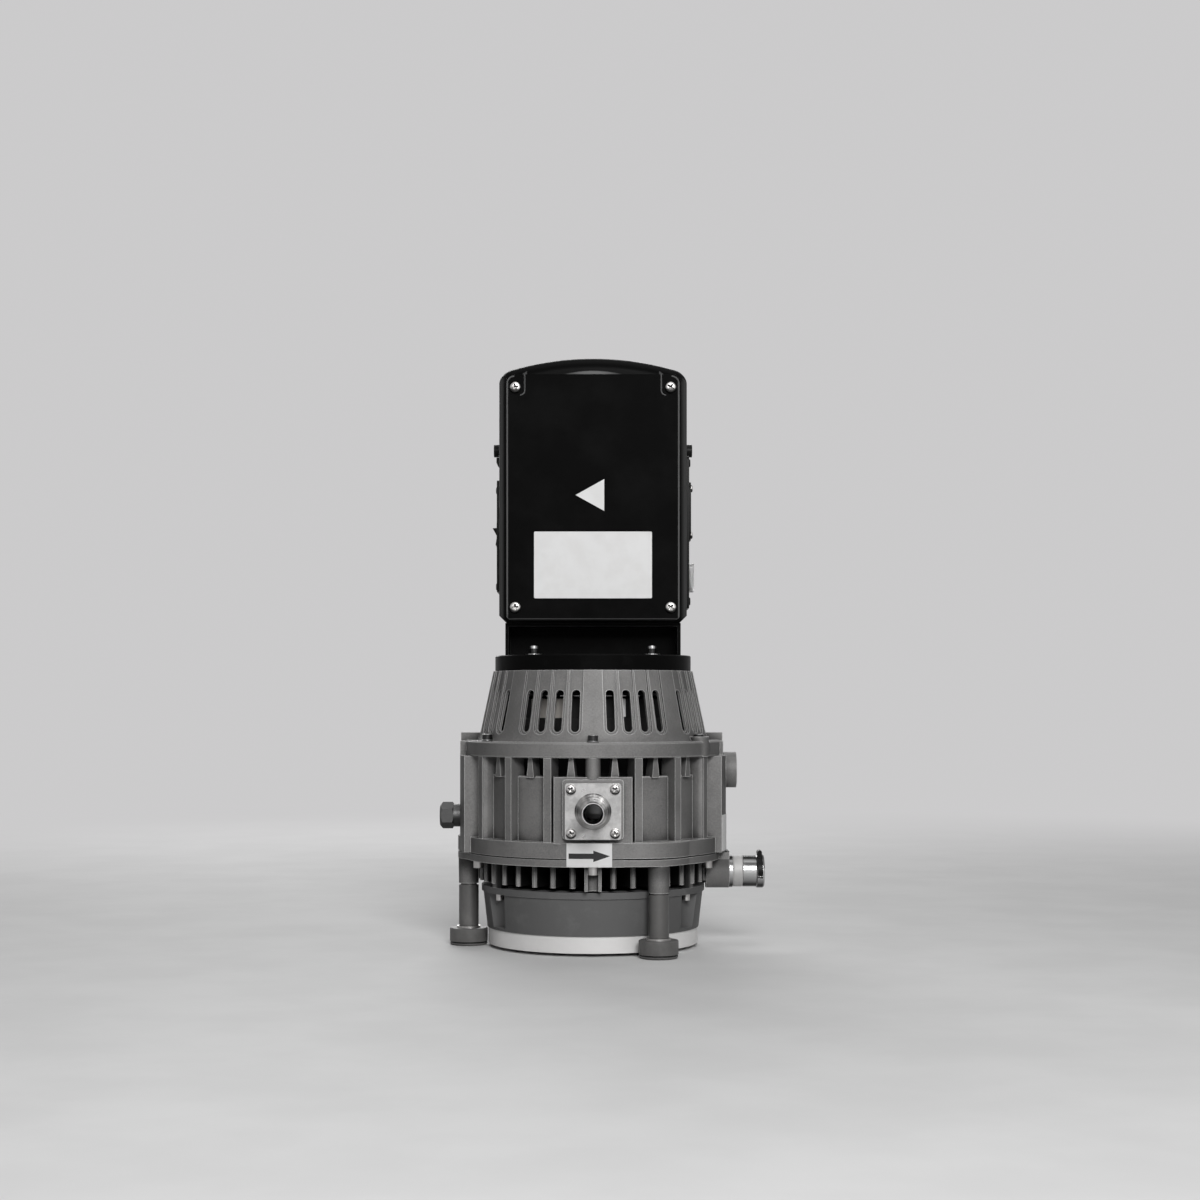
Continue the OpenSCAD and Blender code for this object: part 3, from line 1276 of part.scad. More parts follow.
module lid_gasket() color([0.13, 0.13, 0.13]) difference() {
    slab(box_front_y, lid_gasket_t) difference() {
        lid_face();
        polygon(round_box(0, lid_cz, lid_w - 2 * frame_in, lid_h - 2 * frame_in, 6));
    }
    lid_screw_places(box_front_y + over) rotate([90, 0, 0])
        cylinder(r = lid_screw_r + 0.2, h = lid_gasket_t + 2 * over);
}

// Lid with a stepped rim and two sunk corners above
module box_lid() color([0.09, 0.09, 0.095]) {
    back = box_front_y - lid_gasket_t;
    difference() {
        union() {
            slab(back, lid_t - 1) polygon(round_box(0, lid_cz, lid_w, lid_h, lid_corner_r));
            slab(back, lid_t) lid_face();
        }
        for (s = [-1, 1]) slab(lid_front_y + lid_pocket_depth, lid_pocket_depth + over)
            polygon(round_box(s * lid_w / 2, lid_cz + lid_h / 2, 2 * lid_notch_w, 2 * lid_notch_h, 5));
        lid_screw_places(back + over) rotate([90, 0, 0]) cylinder(r = lid_screw_r + 0.3, h = lid_t + 2 * over);
    }
}

// Blank label and blank triangle on the lid
module lid_labels() color([0.9, 0.9, 0.91]) {
    slab(lid_front_y, label_t) polygon(round_box(0, label_z, label_w, label_h, 1));
    slab(lid_front_y, label_t) polygon([[triangle_x - triangle_w / 2, triangle_z],
        [triangle_x + triangle_w / 2, triangle_z - triangle_h / 2],
        [triangle_x + triangle_w / 2, triangle_z + triangle_h / 2]]);
}

module panel_screw_spots(x, z0, h) {
    for (y = x < 0 ? [0] : [-panel_screw_y, panel_screw_y], z = [z0 + panel_screw_in, z0 + h - panel_screw_in])
        translate([x, y, z]) children();
}

module box_screws() color([0.82, 0.81, 0.78]) {
    for (x = [-1, 1], z = [-1, 1])
        translate([x * (lid_w / 2 - lid_screw_in_x), lid_front_y + (z > 0 ? lid_pocket_depth : 0),
            lid_cz + z * (lid_h / 2 - lid_screw_in_z)]) rotate([90, 0, 0])
                pan_screw(lid_screw_r, lid_head_r, lid_head_h, lid_screw_len - (z > 0 ? lid_pocket_depth : 0));
    for (s = [-1, 1]) translate([panel_x + socket_flange_t, 0, socket_z + s * socket_screw_dz])
        rotate([0, 90, 0]) pan_screw(small_r, small_head_r, small_head_h, 4);
}

module box_side_screws() color([0.1, 0.1, 0.1]) {
    for (s = [-1, 1]) translate([s * side_x, side_screw_y, side_screw_z]) rotate([0, s * 90, 0])
        socket_screw(m5_r, side_screw_r, side_screw_h, box_wall);
    panel_screw_spots(panel_x, right_panel_z, right_panel_h) rotate([0, 90, 0])
        pan_screw(small_r, panel_head_r, 1.2, 5);
    panel_screw_spots(-panel_x, left_panel_z, left_panel_h) rotate([0, -90, 0])
        pan_screw(small_r, panel_head_r, small_head_h, 5);
}

module run_capacitor() color([0.8, 0.8, 0.78]) translate([capacitor_x, capacitor_y, capacitor_z]) union() {
    cylinder(r = capacitor_r, h = capacitor_h);
    for (x = [-6, 6]) translate([x - 0.4, -3, capacitor_h - over]) cube([0.8, 6, 9]);
}

module capacitor_clamp() color([0.6, 0.6, 0.6]) {
    clamp_z = capacitor_z + (capacitor_h - clamp_h) / 2;
    clamp_r = capacitor_r + seat_gap;
    wall_y = box_back_y - box_wall;
    translate([capacitor_x, 0, clamp_z]) difference() {
        union() {
            translate([0, capacitor_y, 0]) cylinder(r = clamp_r + clamp_t, h = clamp_h);
            translate([-clamp_t, capacitor_y, 0]) cube([2 * clamp_t, wall_y - capacitor_y, clamp_h]);
            translate([-clamp_foot, wall_y - clamp_t, 0]) cube([2 * clamp_foot, clamp_t, clamp_h]);
        }
        translate([0, capacitor_y, -over]) cylinder(r = clamp_r, h = clamp_h + 2 * over);
    }
}

module terminal_block() color([0.75, 0.75, 0.7]) {
    wall_y = box_back_y - box_wall;
    pitch = terminal_w / terminal_ways;
    difference() {
        translate([terminal_x - terminal_w / 2, wall_y - terminal_d, terminal_z])
            cube([terminal_w, terminal_d, terminal_h]);
        for (i = [0:terminal_ways - 1]) translate([terminal_x - terminal_w / 2 + (i + 0.5) * pitch,
            wall_y - terminal_d - over, terminal_z + terminal_h / 2]) rotate([-90, 0, 0])
                cylinder(r = pitch / 3, h = 5 + over);
    }
}

module side_panels() color([0.1, 0.1, 0.105]) {
    difference() {
        side_slab(side_x, panel_plate_t)
            polygon(round_box(0, right_panel_z + right_panel_h / 2, side_panel_d, right_panel_h, 4));
        side_slab(side_x - over, panel_plate_t + 2 * over)
            polygon(round_box(0, socket_z, socket_body_y + 0.4, socket_body_z + 0.4, 1));
        side_slab(side_x - over, panel_plate_t + 2 * over)
            polygon(round_box(0, breaker_z, breaker_body_w + 0.4, breaker_body_w + 0.4, 1));
        panel_screw_spots(side_x - over, right_panel_z, right_panel_h)
            rod_x(small_r + seat_gap, 0, panel_plate_t + 2 * over);
        for (s = [-1, 1]) translate([0, 0, socket_z + s * socket_screw_dz])
            rod_x(small_r, side_x - over, panel_x + over);
    }
    difference() {
        side_slab(-panel_x, panel_plate_t)
            polygon(round_box(0, left_panel_z + left_panel_h / 2, side_panel_d, left_panel_h, 4));
        side_slab(-panel_x - over, panel_plate_t + 2 * over)
            polygon(round_box(0, switch_z, switch_body_y + 0.4, switch_body_z + 0.4, 1));
        panel_screw_spots(-panel_x - over, left_panel_z, left_panel_h)
            rod_x(small_r + seat_gap, 0, panel_plate_t + 2 * over);
    }
    slab(louvre_d / 2, louvre_d) polygon([[-side_x, louvre_z], [-side_x, louvre_z + louvre_h],
        [-side_x - louvre_out, louvre_z + louvre_h], [-side_x - louvre_out, louvre_z + louvre_h * 0.6]]);
}

// Rocker switch body: a flange over the panel and a box behind it
module switch_body() color([0.06, 0.06, 0.06]) difference() {
    union() {
        side_slab(-panel_x - switch_flange_t, switch_flange_t)
            polygon(round_box(0, switch_z, switch_flange_y, switch_flange_z, 2));
        side_slab(-panel_x - over, switch_body_depth + over)
            polygon(round_box(0, switch_z, switch_body_y, switch_body_z, 1));
    }
    side_slab(-panel_x - switch_flange_t - over, switch_cavity_depth + over) translate([0, switch_z])
        square([rocker_y + 2 * slip, 2 * rocker_clear_z], center = true);
    translate([-panel_x + rocker_depth, switch_body_y / 2 + over, switch_z])
        rotate([90, 0, 0]) cylinder(r = rocker_pin_r + run_gap, h = switch_body_y + 2 * over);
}

module power_rocker() color([0.05, 0.05, 0.05]) translate([-panel_x + rocker_depth, 0, switch_z])
    rotate([0, -rocker_swing, 0]) union() {
        translate([0, rocker_y / 2, 0]) rotate([90, 0, 0]) linear_extrude(rocker_y) polygon([
            [rocker_back, -rocker_half_z + 1], [rocker_back, rocker_half_z - 1],
            [-rocker_out, rocker_half_z], [-rocker_mid, 0], [-rocker_out, -rocker_half_z]]);
        translate([0, rocker_pin_len / 2, 0]) rotate([90, 0, 0])
            cylinder(r = rocker_pin_r, h = rocker_pin_len);
    }

module power_inlet() color([0.07, 0.07, 0.07]) difference() {
    union() {
        side_slab(panel_x, socket_flange_t)
            polygon(round_box(0, socket_z, socket_flange_y, socket_flange_z, 8));
        side_slab(panel_x - socket_body_depth, socket_body_depth + over)
            polygon(round_box(0, socket_z, socket_body_y, socket_body_z, 2));
    }
    side_slab(panel_x + socket_flange_t - recess_depth, recess_depth + over)
        polygon(round_box(0, socket_z, recess_y, recess_z, 2));
    for (s = [-1, 1]) translate([0, 0, socket_z + s * socket_screw_dz])
        rod_x(small_r + seat_gap, panel_x - over, panel_x + socket_flange_t + over);
}

module inlet_contacts() color([0.8, 0.75, 0.5]) for (i = [-1:1])
    translate([panel_x + socket_flange_t - recess_depth,
        (i == 0 ? contact_side : -contact_side) - contact_w / 2,
        socket_z + i * contact_pitch - contact_t / 2]) cube([contact_len, contact_w, contact_t]);

module breaker_body() color([0.09, 0.09, 0.09]) {
    face = panel_x + breaker_bezel_t;
    difference() {
        union() {
            side_slab(panel_x, breaker_bezel_t)
                polygon(round_box(0, breaker_z, breaker_bezel, breaker_bezel, 2));
            side_slab(panel_x - breaker_body_depth, breaker_body_depth + over)
                polygon(round_box(0, breaker_z, breaker_body_w, breaker_body_w, 1));
        }
        translate([0, 0, breaker_z]) rod_x(button_bowl_r, face - button_bowl_depth, face + over);
        translate([0, 0, breaker_z]) rod_x(button_r + 0.05, face - button_bowl_depth - 8, face);
        translate([0, 0, breaker_z]) rod_x(button_stem_r + slip, panel_x - breaker_body_depth + 3, face - 8);
    }
}

// Clear soft cap over the breaker
module breaker_boot() color([0.8, 0.8, 0.8, 0.4]) difference() {
    side_slab(panel_x, boot_t) polygon(round_box(0, breaker_z, boot_w, boot_w, 4));
    side_slab(panel_x - over, boot_t - boot_wall + over)
        polygon(round_box(0, breaker_z, boot_w - 2 * boot_wall, boot_w - 2 * boot_wall, 3));
}

module breaker_button() color([0.5, 0.08, 0.06]) {
    face = panel_x + breaker_bezel_t;
    translate([0, 0, breaker_z]) union() {
        rod_x(button_r, face - button_bowl_depth - 8 + button_travel + slip, face - 0.4);
        rod_x(button_stem_r, panel_x - breaker_body_depth + 3 + button_travel + slip,
            face - button_bowl_depth - 5);
    }
}

rubber_feet();
foot_fasteners();
leg_posts();
base_grille();
base_cover();
stage_screws();
base_fan_motor();
base_fan();
fixed_scroll();
fixed_tip_seal();
orbiting_scroll();
orbiting_tip_seal();
crank_bearing();
guide_bearings_lower();
guide_bearings_upper();
guide_crank_1();
guide_crank_2();
guide_crank_3();
crankshaft();
counterweight();
shaft_seal();
main_bearing();
rotor_core();
stator_core();
stator_windings();
motor_end_shield();
rear_bearing();
motor_tie_bolts();
motor_fan();
pump_housing();
inlet_gasket();
inlet_flange();
inlet_screws();
ballast_plug();
housing_stickers();
exhaust_collar();
exhaust_coupling();
coupling_latch();
motor_cover();
cover_bolts();
top_plate();
box_bracket();
bracket_screws();
box_shell();
lid_gasket();
box_lid();
lid_labels();
box_screws();
box_side_screws();
run_capacitor();
capacitor_clamp();
terminal_block();
side_panels();
switch_body();
power_rocker();
power_inlet();
inlet_contacts();
breaker_body();
breaker_button();
breaker_boot();
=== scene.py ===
"""A dry scroll vacuum pump: the finishes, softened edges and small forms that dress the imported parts."""

import json
import math

import bmesh
import bpy
import numpy as np
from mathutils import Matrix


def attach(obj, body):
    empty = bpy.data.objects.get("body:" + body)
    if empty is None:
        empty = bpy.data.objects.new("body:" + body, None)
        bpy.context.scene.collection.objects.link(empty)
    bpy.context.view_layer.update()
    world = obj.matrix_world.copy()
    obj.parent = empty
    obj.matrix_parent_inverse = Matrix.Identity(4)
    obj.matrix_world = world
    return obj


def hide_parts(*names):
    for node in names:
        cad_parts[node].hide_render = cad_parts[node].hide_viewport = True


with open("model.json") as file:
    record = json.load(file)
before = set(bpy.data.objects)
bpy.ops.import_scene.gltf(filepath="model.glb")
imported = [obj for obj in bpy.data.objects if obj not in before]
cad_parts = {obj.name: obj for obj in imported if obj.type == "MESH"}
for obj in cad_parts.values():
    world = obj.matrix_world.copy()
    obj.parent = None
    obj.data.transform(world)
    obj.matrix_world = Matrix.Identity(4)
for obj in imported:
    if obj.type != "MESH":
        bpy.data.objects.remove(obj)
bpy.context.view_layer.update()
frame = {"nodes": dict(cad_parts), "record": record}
MM = 0.001
SLOT_OF = {part["node"]: part["material_slot"] for part in frame["record"]["subparts"]}
BODIES = frame["record"]["behaviour"]["bodies"]
BODY_OF = {node: body for body, members in BODIES.items() for node in members}

# Camera: it stands in front of the pump, level, a little above the lower band
CAMERA_AWAY = 1.735
CAMERA_UP = 0.2123
LENS = 59.6
SENSOR = 36
PHOTO_SIDE = 1200
SHIFT_RIGHT = 7 / PHOTO_SIDE
SHIFT_UP = 101 / PHOTO_SIDE

PALE_BACKGROUND = (0.60, 0.595, 0.60, 1)
WORLD_GLOW = 0.03
FLOOR_HALF = 6.0
FADE_FROM = 0.5
FADE_TO = 2.2
SOFT_EDGE_ANGLE = math.radians(30)
WELD = 2e-6
FLAT_ANGLE = math.radians(0.6)
BEVEL_STEPS = 2

# Where the finishes change, in metres. The castings: the cover's slotted cone and how deep its slots stay
# lit before painted shade blacks them, the seam of the scroll plate, the fins under it with their painted
# shade, how far painted shade reaches into recesses, and the openings between the housing's ribs, painted
# black as shade
CONE_FOOT_Z = 0.184
CONE_FOOT_R = 0.0984
CONE_SLOPE = 0.214
CONE_SKIN = 0.0045
SEAM_Z = 0.0824
SEAM_HALF = 0.0005
RIM_R = 0.1
FIN_TOP_Z = 0.0757
FIN_DARK_R = 0.0955
FIN_LIT_R = 0.0986
FIN_SHADE_LOW = 0.06
FIN_SHADE_HIGH = 0.073
HOLLOW_REACH = 0.012
RIB_OPENING_R = 0.0935
RIB_OPENING_LOW = 0.1497
RIB_OPENING_HIGH = 0.166

# The box: its flat front ends at BOX_FACE_Y, under an arch with a painted highlight crescent and two
# small painted glints, and with painted highlights along its side rims
BOX_FACE_Y = -0.0425
BOX_RIM_Y = -0.0405
BOX_RIM_IN = 0.0745
BOX_RIM_OUT = 0.079
ARCH_FACE_Z = 0.4885
CRESCENT_Z = 0.4896
CRESCENT_RISE = 0.0042
CRESCENT_HALF = 0.03
CRESCENT_SOFT = 0.0012
GLINT_Z = 0.4898
GLINT_IN = 0.0563
GLINT_OUT = 0.0612

# The lid: painted highlight lines on its front edge, the round of its upper corners, its foot and its sunk
# corners, and where painted shade starts on the lower halves of its upper screws
LID_FACE_Y = -0.0475
LID_EDGE_X = 0.0728
LID_EDGE_HALF = 0.0007
LID_FOOT_HALF = 0.0005
LID_TURN_X = 0.0668
LID_TURN_Z = 0.4822
LID_TURN_R = 0.006
LID_FOOT_Z = 0.2819
NOTCH_X = 0.058
NOTCH_Z = 0.472
NOTCH_R = 0.004
TOP_SCREW_Z = 0.4785
TOP_SCREW_SOFT = 0.0023
BOX_MIDDLE_Z = 0.4
LINE_HALF = 0.0006

# The inlet nozzle and its plate, the collar of the exhaust, and the grille under the drum
BORE_Z = 0.1221
BORE_R = 0.0081
BORE_Y = -0.09
TURNED_Y = -0.1
NOZZLE_Y = -0.1166
NOZZLE_TIP_R = 0.0092
NOZZLE_FOOT_R = 0.0152
COLLAR_X = 0.1
GRILLE_TOP_Z = 0.03

# The bracket's washers and screws, whose heads get a painted highlight above SCREW_RIM_Z, and the cover's
# bolts below them
BRACKET_FOOT_Z = 0.25
WASHER_TOP_Z = 0.2529
SCREW_RIM_Z = 0.2574
COVER_BOLT_Z = 0.2

# What shows through the cover's slots: an insulating sleeve and a narrow painted highlight
MOTOR_FRONT_Y = -0.04
MOTOR_TOP_Z = 0.2145
SLEEVE_X = -0.037
SLEEVE_HALF = 0.0165
STRIP_X = 0.0262
STRIP_HALF = 0.0013
STRIP_LOW_Z = 0.199

# The arrow on the direction sticker, which lies below BAND_TOP_Z at the front
BAND_TOP_Z = 0.0962
STICKER_Y = -0.1
ARROW_Z = 0.0853
ARROW_TAIL_X = -0.0099
ARROW_TAIL_HALF = 0.0101
ARROW_BAR_HALF = 0.0022
ARROW_HEAD_HALF = 0.0047
ARROW_NECK = 0.0002
ARROW_TIP = 0.014
SIDE_STICKER_X = 0.09

# The feet: a painted shade line for the groove above the lip, and a painted highlight on the rim above
GROOVE_Z = 0.0028
GROOVE_HALF = 0.0007
FOOT_RIM_Z = 0.0215

# How much painted shade darkens the flanks, and the depth of the peel and of the grain
FLANK_SHADE = 0.68
PEEL = 0.00004
FINE_PEEL = 0.4
GRAIN = 0.00003

# How far from an edge each kind of surface turns paler: wear on the metals, painted highlight on the
# coats and screws, and both on the castings, the moulded plastic and the rubber feet
CAST_EDGE = 0.0012
COAT_EDGE = 0.0007
MOULDED_EDGE = 0.0006
METAL_EDGE = 0.0004


class Value:
    """A socket of a material's node tree. Arithmetic on it adds Math nodes."""

    def __init__(self, finish, socket):
        self.finish = finish
        self.socket = socket

    def math(self, operation, *values):
        """A Math node's result over the values."""
        settings = {"operation": operation}
        return self.finish.node("ShaderNodeMath", settings, dict(enumerate(values)))

    def __add__(self, other):
        return self.math("ADD", self, other)

    def __sub__(self, other):
        return self.math("SUBTRACT", self, other)

    def __rsub__(self, other):
        return self.math("SUBTRACT", other, self)

    def __mul__(self, other):
        return self.math("MULTIPLY", self, other)

    def __truediv__(self, other):
        return self.math("DIVIDE", self, other)

    def above(self, limit):
        """1 where the value is larger than the limit, else 0."""
        return self.math("GREATER_THAN", self, limit)

    def below(self, limit):
        """1 where the value is smaller than the limit, else 0."""
        return self.math("LESS_THAN", self, limit)

    def larger(self, other):
        """The larger of the two values."""
        return self.math("MAXIMUM", self, other)

    def size(self):
        """The value without its sign."""
        return self.math("ABSOLUTE", self)

    def wave(self):
        """The sine of the value in radians."""
        return self.math("SINE", self)

    def root(self):
        """The square root of the value."""
        return self.math("SQRT", self)


class Finish:
    """One material: a Principled shader, and the patterns that drive it."""

    def __init__(self, name, **fixed):
        self.material = bpy.data.materials.new(name)
        self.material.use_nodes = True
        self.tree = self.material.node_tree
        self.shader = self.tree.nodes["Principled BSDF"]
        for socket, value in fixed.items():
            self.shader.inputs[socket.replace("_", " ")].default_value = value
        self.place = self.node("ShaderNodeTexCoord", {}, {}, "Object")
        self.bumps = None

    def node(self, kind, settings, values, output=0):
        """Adds a node, gives it its settings, then the values or links of its sockets."""
        made = self.tree.nodes.new(kind)
        for name, setting in settings.items():
            if name == "stops":
                for stop in range(len(setting) - 2):
                    made.color_ramp.elements.new(0.5)
                for element, (position, colour) in zip(made.color_ramp.elements, setting):
                    element.position = position
                    element.color = colour
            else:
                setattr(made, name, setting)
        for name, value in values.items():
            if isinstance(value, Value):
                self.tree.links.new(value.socket, made.inputs[name])
            else:
                made.inputs[name].default_value = value
        return Value(self, made.outputs[output])

    def axes(self):
        """The X, Y and Z of the point, in metres."""
        return [self.node("ShaderNodeSeparateXYZ", {}, {0: self.place}, axis) for axis in range(3)]

    def upward(self):
        """How far the surface faces up: 1 for a level top, 0 for a wall, -1 for an underside."""
        facing = self.node("ShaderNodeTexCoord", {}, {}, "Normal")
        return self.node("ShaderNodeSeparateXYZ", {}, {0: facing}, "Z")

    def sideways(self):
        """How far the surface faces left or right: 1 for a wall square to X, 0 for a front or a top."""
        facing = self.node("ShaderNodeTexCoord", {}, {}, "Normal")
        across = self.node("ShaderNodeSeparateXYZ", {}, {0: facing}, "X")
        return across * across

    def stretched(self, x, y, z):
        """The point with its X, Y and Z multiplied, which draws a pattern out."""
        return self.node("ShaderNodeMapping", {}, {"Vector": self.place, "Scale": (x, y, z)})

    def noise(self, per_metre, detail=3.0, rough=0.55, place=None):
        """Smooth noise from 0 to 1, with that many patches in a metre."""
        values = {"Vector": place or self.place, "Scale": per_metre, "Detail": detail, "Roughness": rough}
        return self.node("ShaderNodeTexNoise", {}, values)

    def cells(self, per_metre):
        """How far the point is from the middle of its cell, in cells."""
        return self.node("ShaderNodeTexVoronoi", {}, {"Vector": self.place, "Scale": per_metre})

    def between(self, value, low, high, to_low=0.0, to_high=1.0):
        """value from low to high, eased into the range from to_low to to_high."""
        values = {0: value, 1: low, 2: high, 3: to_low, 4: to_high}
        return self.node("ShaderNodeMapRange", {"interpolation_type": "SMOOTHSTEP"}, values)

    def mixed(self, share, first, second):
        """The first colour, gone over to the second by the share."""
        settings = {"data_type": "RGBA"}
        return self.node("ShaderNodeMix", settings, {0: share, 6: first, 7: second}, 2)

    def edge_wear_and_highlight(self, radius):
        """1 on an edge and 0 on a flat face: how far a rounded normal leaves the true one. It marks edges
        for wear and for painted highlights.
        """
        rounded = self.node("ShaderNodeBevel", {"samples": 4}, {"Radius": radius})
        true = self.node("ShaderNodeNewGeometry", {}, {}, "Normal")
        settings = {"operation": "DOT_PRODUCT"}
        dot = self.node("ShaderNodeVectorMath", settings, {0: rounded, 1: true}, "Value")
        return self.between(1 - dot, 0.01, 0.16)

    def hollows(self, reach):
        """1 deep in a recess of the same piece and 0 on an open face."""
        settings = {"samples": 8, "only_local": True}
        open_share = self.node("ShaderNodeAmbientOcclusion", settings, {"Distance": reach}, "AO")
        return self.between(open_share, 0.3, 0.9, 1, 0)

    def bump(self, height, depth, strength=1.0):
        """Adds a relief of that height map on top of the ones before."""
        values = {"Height": height, "Distance": depth, "Strength": strength}
        if self.bumps:
            values["Normal"] = self.bumps
        self.bumps = self.node("ShaderNodeBump", {}, values)

    def drives(self, **links):
        """Links each value to its socket of the shader, and the relief to its normal."""
        for socket, value in links.items():
            self.tree.links.new(value.socket, self.shader.inputs[socket.replace("_", " ")])
        if self.bumps:
            self.tree.links.new(self.bumps.socket, self.shader.inputs["Normal"])
        return self.material


def grey(level, warm=0.0):
    """A grey, with more red and less blue by the share warm."""
    return (level * (1 + warm), level, level * (1 - warm), 1)


def cast_alloy(name, level, warm):
    """Blasted aluminium: fine grains, broad clouds, edges paler from wear and painted highlight, flanks and
    recesses darkened as painted shade, and a dark seam. Painted shade also darkens the fins under the plate
    and blacks the cone's slots and the openings between the ribs.
    """
    made = Finish(name, Metallic=0.12, Specular_IOR_Level=0.2)
    grains = made.noise(850, 3.0, 0.7)
    clouds = made.noise(22, 4.0, 0.6)
    pits = made.between(made.cells(900), 0.05, 0.3)
    edges = made.edge_wear_and_highlight(CAST_EDGE)
    tone = made.between(clouds * 0.5 + grains * 0.5, 0.38, 0.62)
    skin = made.mixed(tone, grey(level * 0.8, warm), grey(level * 1.16, warm))
    # Painted shade: recesses and flanks that face sideways are darkened
    shade = (made.hollows(HOLLOW_REACH) * 0.85).larger(made.sideways() * FLANK_SHADE)
    skin = made.mixed(shade, skin, grey(level * 0.06))
    x, y, z = made.axes()
    away = (x * x + y * y).root()
    # Painted shade on the fins under the plate: dark away from their lit tips, and darker towards their
    # tops
    fins = 1 - made.between(away, FIN_DARK_R, FIN_LIT_R)
    fins = fins.larger(made.between(z, FIN_SHADE_LOW, FIN_SHADE_HIGH, 0, 0.6))
    seam = (z - SEAM_Z).size().below(SEAM_HALF) * away.above(RIM_R)
    # Painted shade: the cone's slots below its skin and the openings between the ribs are blacked out
    cone = CONE_FOOT_R - (z - CONE_FOOT_Z) * CONE_SLOPE - CONE_SKIN
    windows = (cone - away).above(0) * z.above(CONE_FOOT_Z)
    openings = away.below(RIB_OPENING_R) * z.above(RIB_OPENING_LOW) * z.below(RIB_OPENING_HIGH)
    dark = (fins * z.below(FIN_TOP_Z)).larger(windows.larger(openings)).larger(seam)
    body = made.mixed(dark, skin, grey(0.004))
    made.bump(grains, 0.00012, 0.7)
    made.bump(pits, 0.00008, 0.5)
    made.bump(made.noise(170, 2.0), 0.0002, 0.35)
    # Edges paler from wear and from painted highlight
    pale = edges * (1 - dark) * 0.85
    return made.drives(Base_Color=made.mixed(pale, body, grey(level * 3, warm * 0.6)),
                       Roughness=made.between(grains, 0.35, 0.65, 0.46, 0.6))


def painted(name, level, warm, roughness, specular, metallic=0.0):
    """Paint or powder coat: orange peel, a little dust, painted shade on flanks that face sideways, and
    painted highlights on edges that catch the light.
    """
    made = Finish(name, Metallic=metallic, Specular_IOR_Level=specular)
    peel_noise = made.noise(620, 2.0, 0.5)
    dust = made.between(made.noise(48, 5.0, 0.65), 0.5, 0.78)
    edges = made.edge_wear_and_highlight(COAT_EDGE)
    body = made.mixed(dust, grey(level, warm), grey(level * 1.25 + 0.004, warm))
    # Painted shade: flanks facing sideways are darkened
    body = made.mixed(made.sideways() * FLANK_SHADE * 0.7, body, grey(level * 0.06))
    made.bump(peel_noise, PEEL, 0.8)
    made.bump(made.noise(2600, 1.0), PEEL * FINE_PEEL, 0.5)
    dull = made.between(dust + peel_noise * 0.3, 0.0, 1.1, roughness, roughness + 0.16)
    # Painted highlight on the edges
    return made.drives(Base_Color=made.mixed(edges * 0.3, body, grey(level * 2.2 + 0.03, warm)),
                       Roughness=dull)


def powder_coat(name, level):
    """Satin black powder coat with painted highlights: a crescent over the lid, two small glints, the side
    rims and the edges.
    """
    made = Finish(name, Specular_IOR_Level=0.02)
    x, y, z = made.axes()
    grain = made.noise(700, 2.0, 0.5)
    dust = made.between(made.noise(48, 5.0, 0.65), 0.5, 0.78)
    side = x.size()
    # Painted highlights: a crescent over the lid, two small glints beside it, and the side rims
    share = side / CRESCENT_HALF
    crescent = (1 - share * share) * CRESCENT_RISE + CRESCENT_Z - z
    strip = made.between(crescent, 0, CRESCENT_SOFT) * made.between(side, 0.004, 0.028, 1, 0.3)
    glint = side.above(GLINT_IN) * ((GLINT_OUT - side) * 0.75 + GLINT_Z - z).above(0) * 0.4
    face = y.below(BOX_FACE_Y) * z.above(ARCH_FACE_Z) * strip.larger(glint)
    rim = made.between(y, BOX_FACE_Y, BOX_RIM_Y, 1, 0) * made.between(side, BOX_RIM_IN, BOX_RIM_OUT) * 0.3
    body = made.mixed(dust, grey(level), grey(level * 1.3 + 0.002))
    made.bump(grain, PEEL, 0.8)
    made.bump(made.noise(2600, 1.0), PEEL * FINE_PEEL, 0.5)
    # Painted highlight on the face, the rims and the edges
    pale = face.larger(rim).larger(made.edge_wear_and_highlight(COAT_EDGE) * 0.2)
    return made.drives(Base_Color=made.mixed(pale, body, grey(0.15)),
                       Roughness=made.between(dust + grain * 0.3, 0.0, 1.1, 0.34, 0.5))


def turned_alloy(name, level, warm):
    """Satin aluminium with fine turning lines, dull and paler on the grille and the collar. The inlet's
    bore is painted black inside as painted shade, and the top and flanks of its nozzle carry a painted dark
    reflection."""
    made = Finish(name, Specular_IOR_Level=0.1)
    x, y, z = made.axes()
    up = z - BORE_Z
    away = (x * x + up * up).root()
    # Painted shade: the inlet's bore is black inside
    bore = away.below(BORE_R) * y.below(BORE_Y)
    lines = (away * 9000).wave() * y.below(TURNED_Y)
    stains = made.noise(70, 4.0, 0.6)
    collar = x.above(COLLAR_X)
    matte = z.below(GRILLE_TOP_Z).larger(collar)
    body = made.mixed(made.between(stains, 0.35, 0.65), grey(level, warm), grey(level * 0.6, warm))
    cast = made.mixed(collar, grey(0.74, warm), grey(0.5, warm))
    worn_cast = made.mixed(collar, grey(0.66, warm), grey(0.42, warm))
    body = made.mixed(matte, body, made.mixed(stains, cast, worn_cast))
    worn = made.mixed(made.edge_wear_and_highlight(METAL_EDGE) * 0.4, body, grey(level * 1.6, warm))
    # Painted reflection: dark sectors on the nozzle's top and flanks
    nozzle = away.above(NOZZLE_TIP_R) * away.below(NOZZLE_FOOT_R) * y.below(NOZZLE_Y)
    top = made.between(up / away, 0.8, 0.95)
    flanks = made.between(x.size() / away, 0.88, 0.98) * made.between(up / away, -0.35, 0.05)
    shade = top.larger(flanks) * nozzle * 0.92
    made.bump(lines + made.noise(1500, 2.0), 0.000006, 0.6)
    return made.drives(Base_Color=made.mixed(bore.larger(shade), worn, grey(0.003)),
                       Metallic=(1 - bore) * (0.85 - matte * 0.6),
                       Roughness=made.between(stains, 0.3, 0.7, 0.27, 0.42) + matte * 0.15)


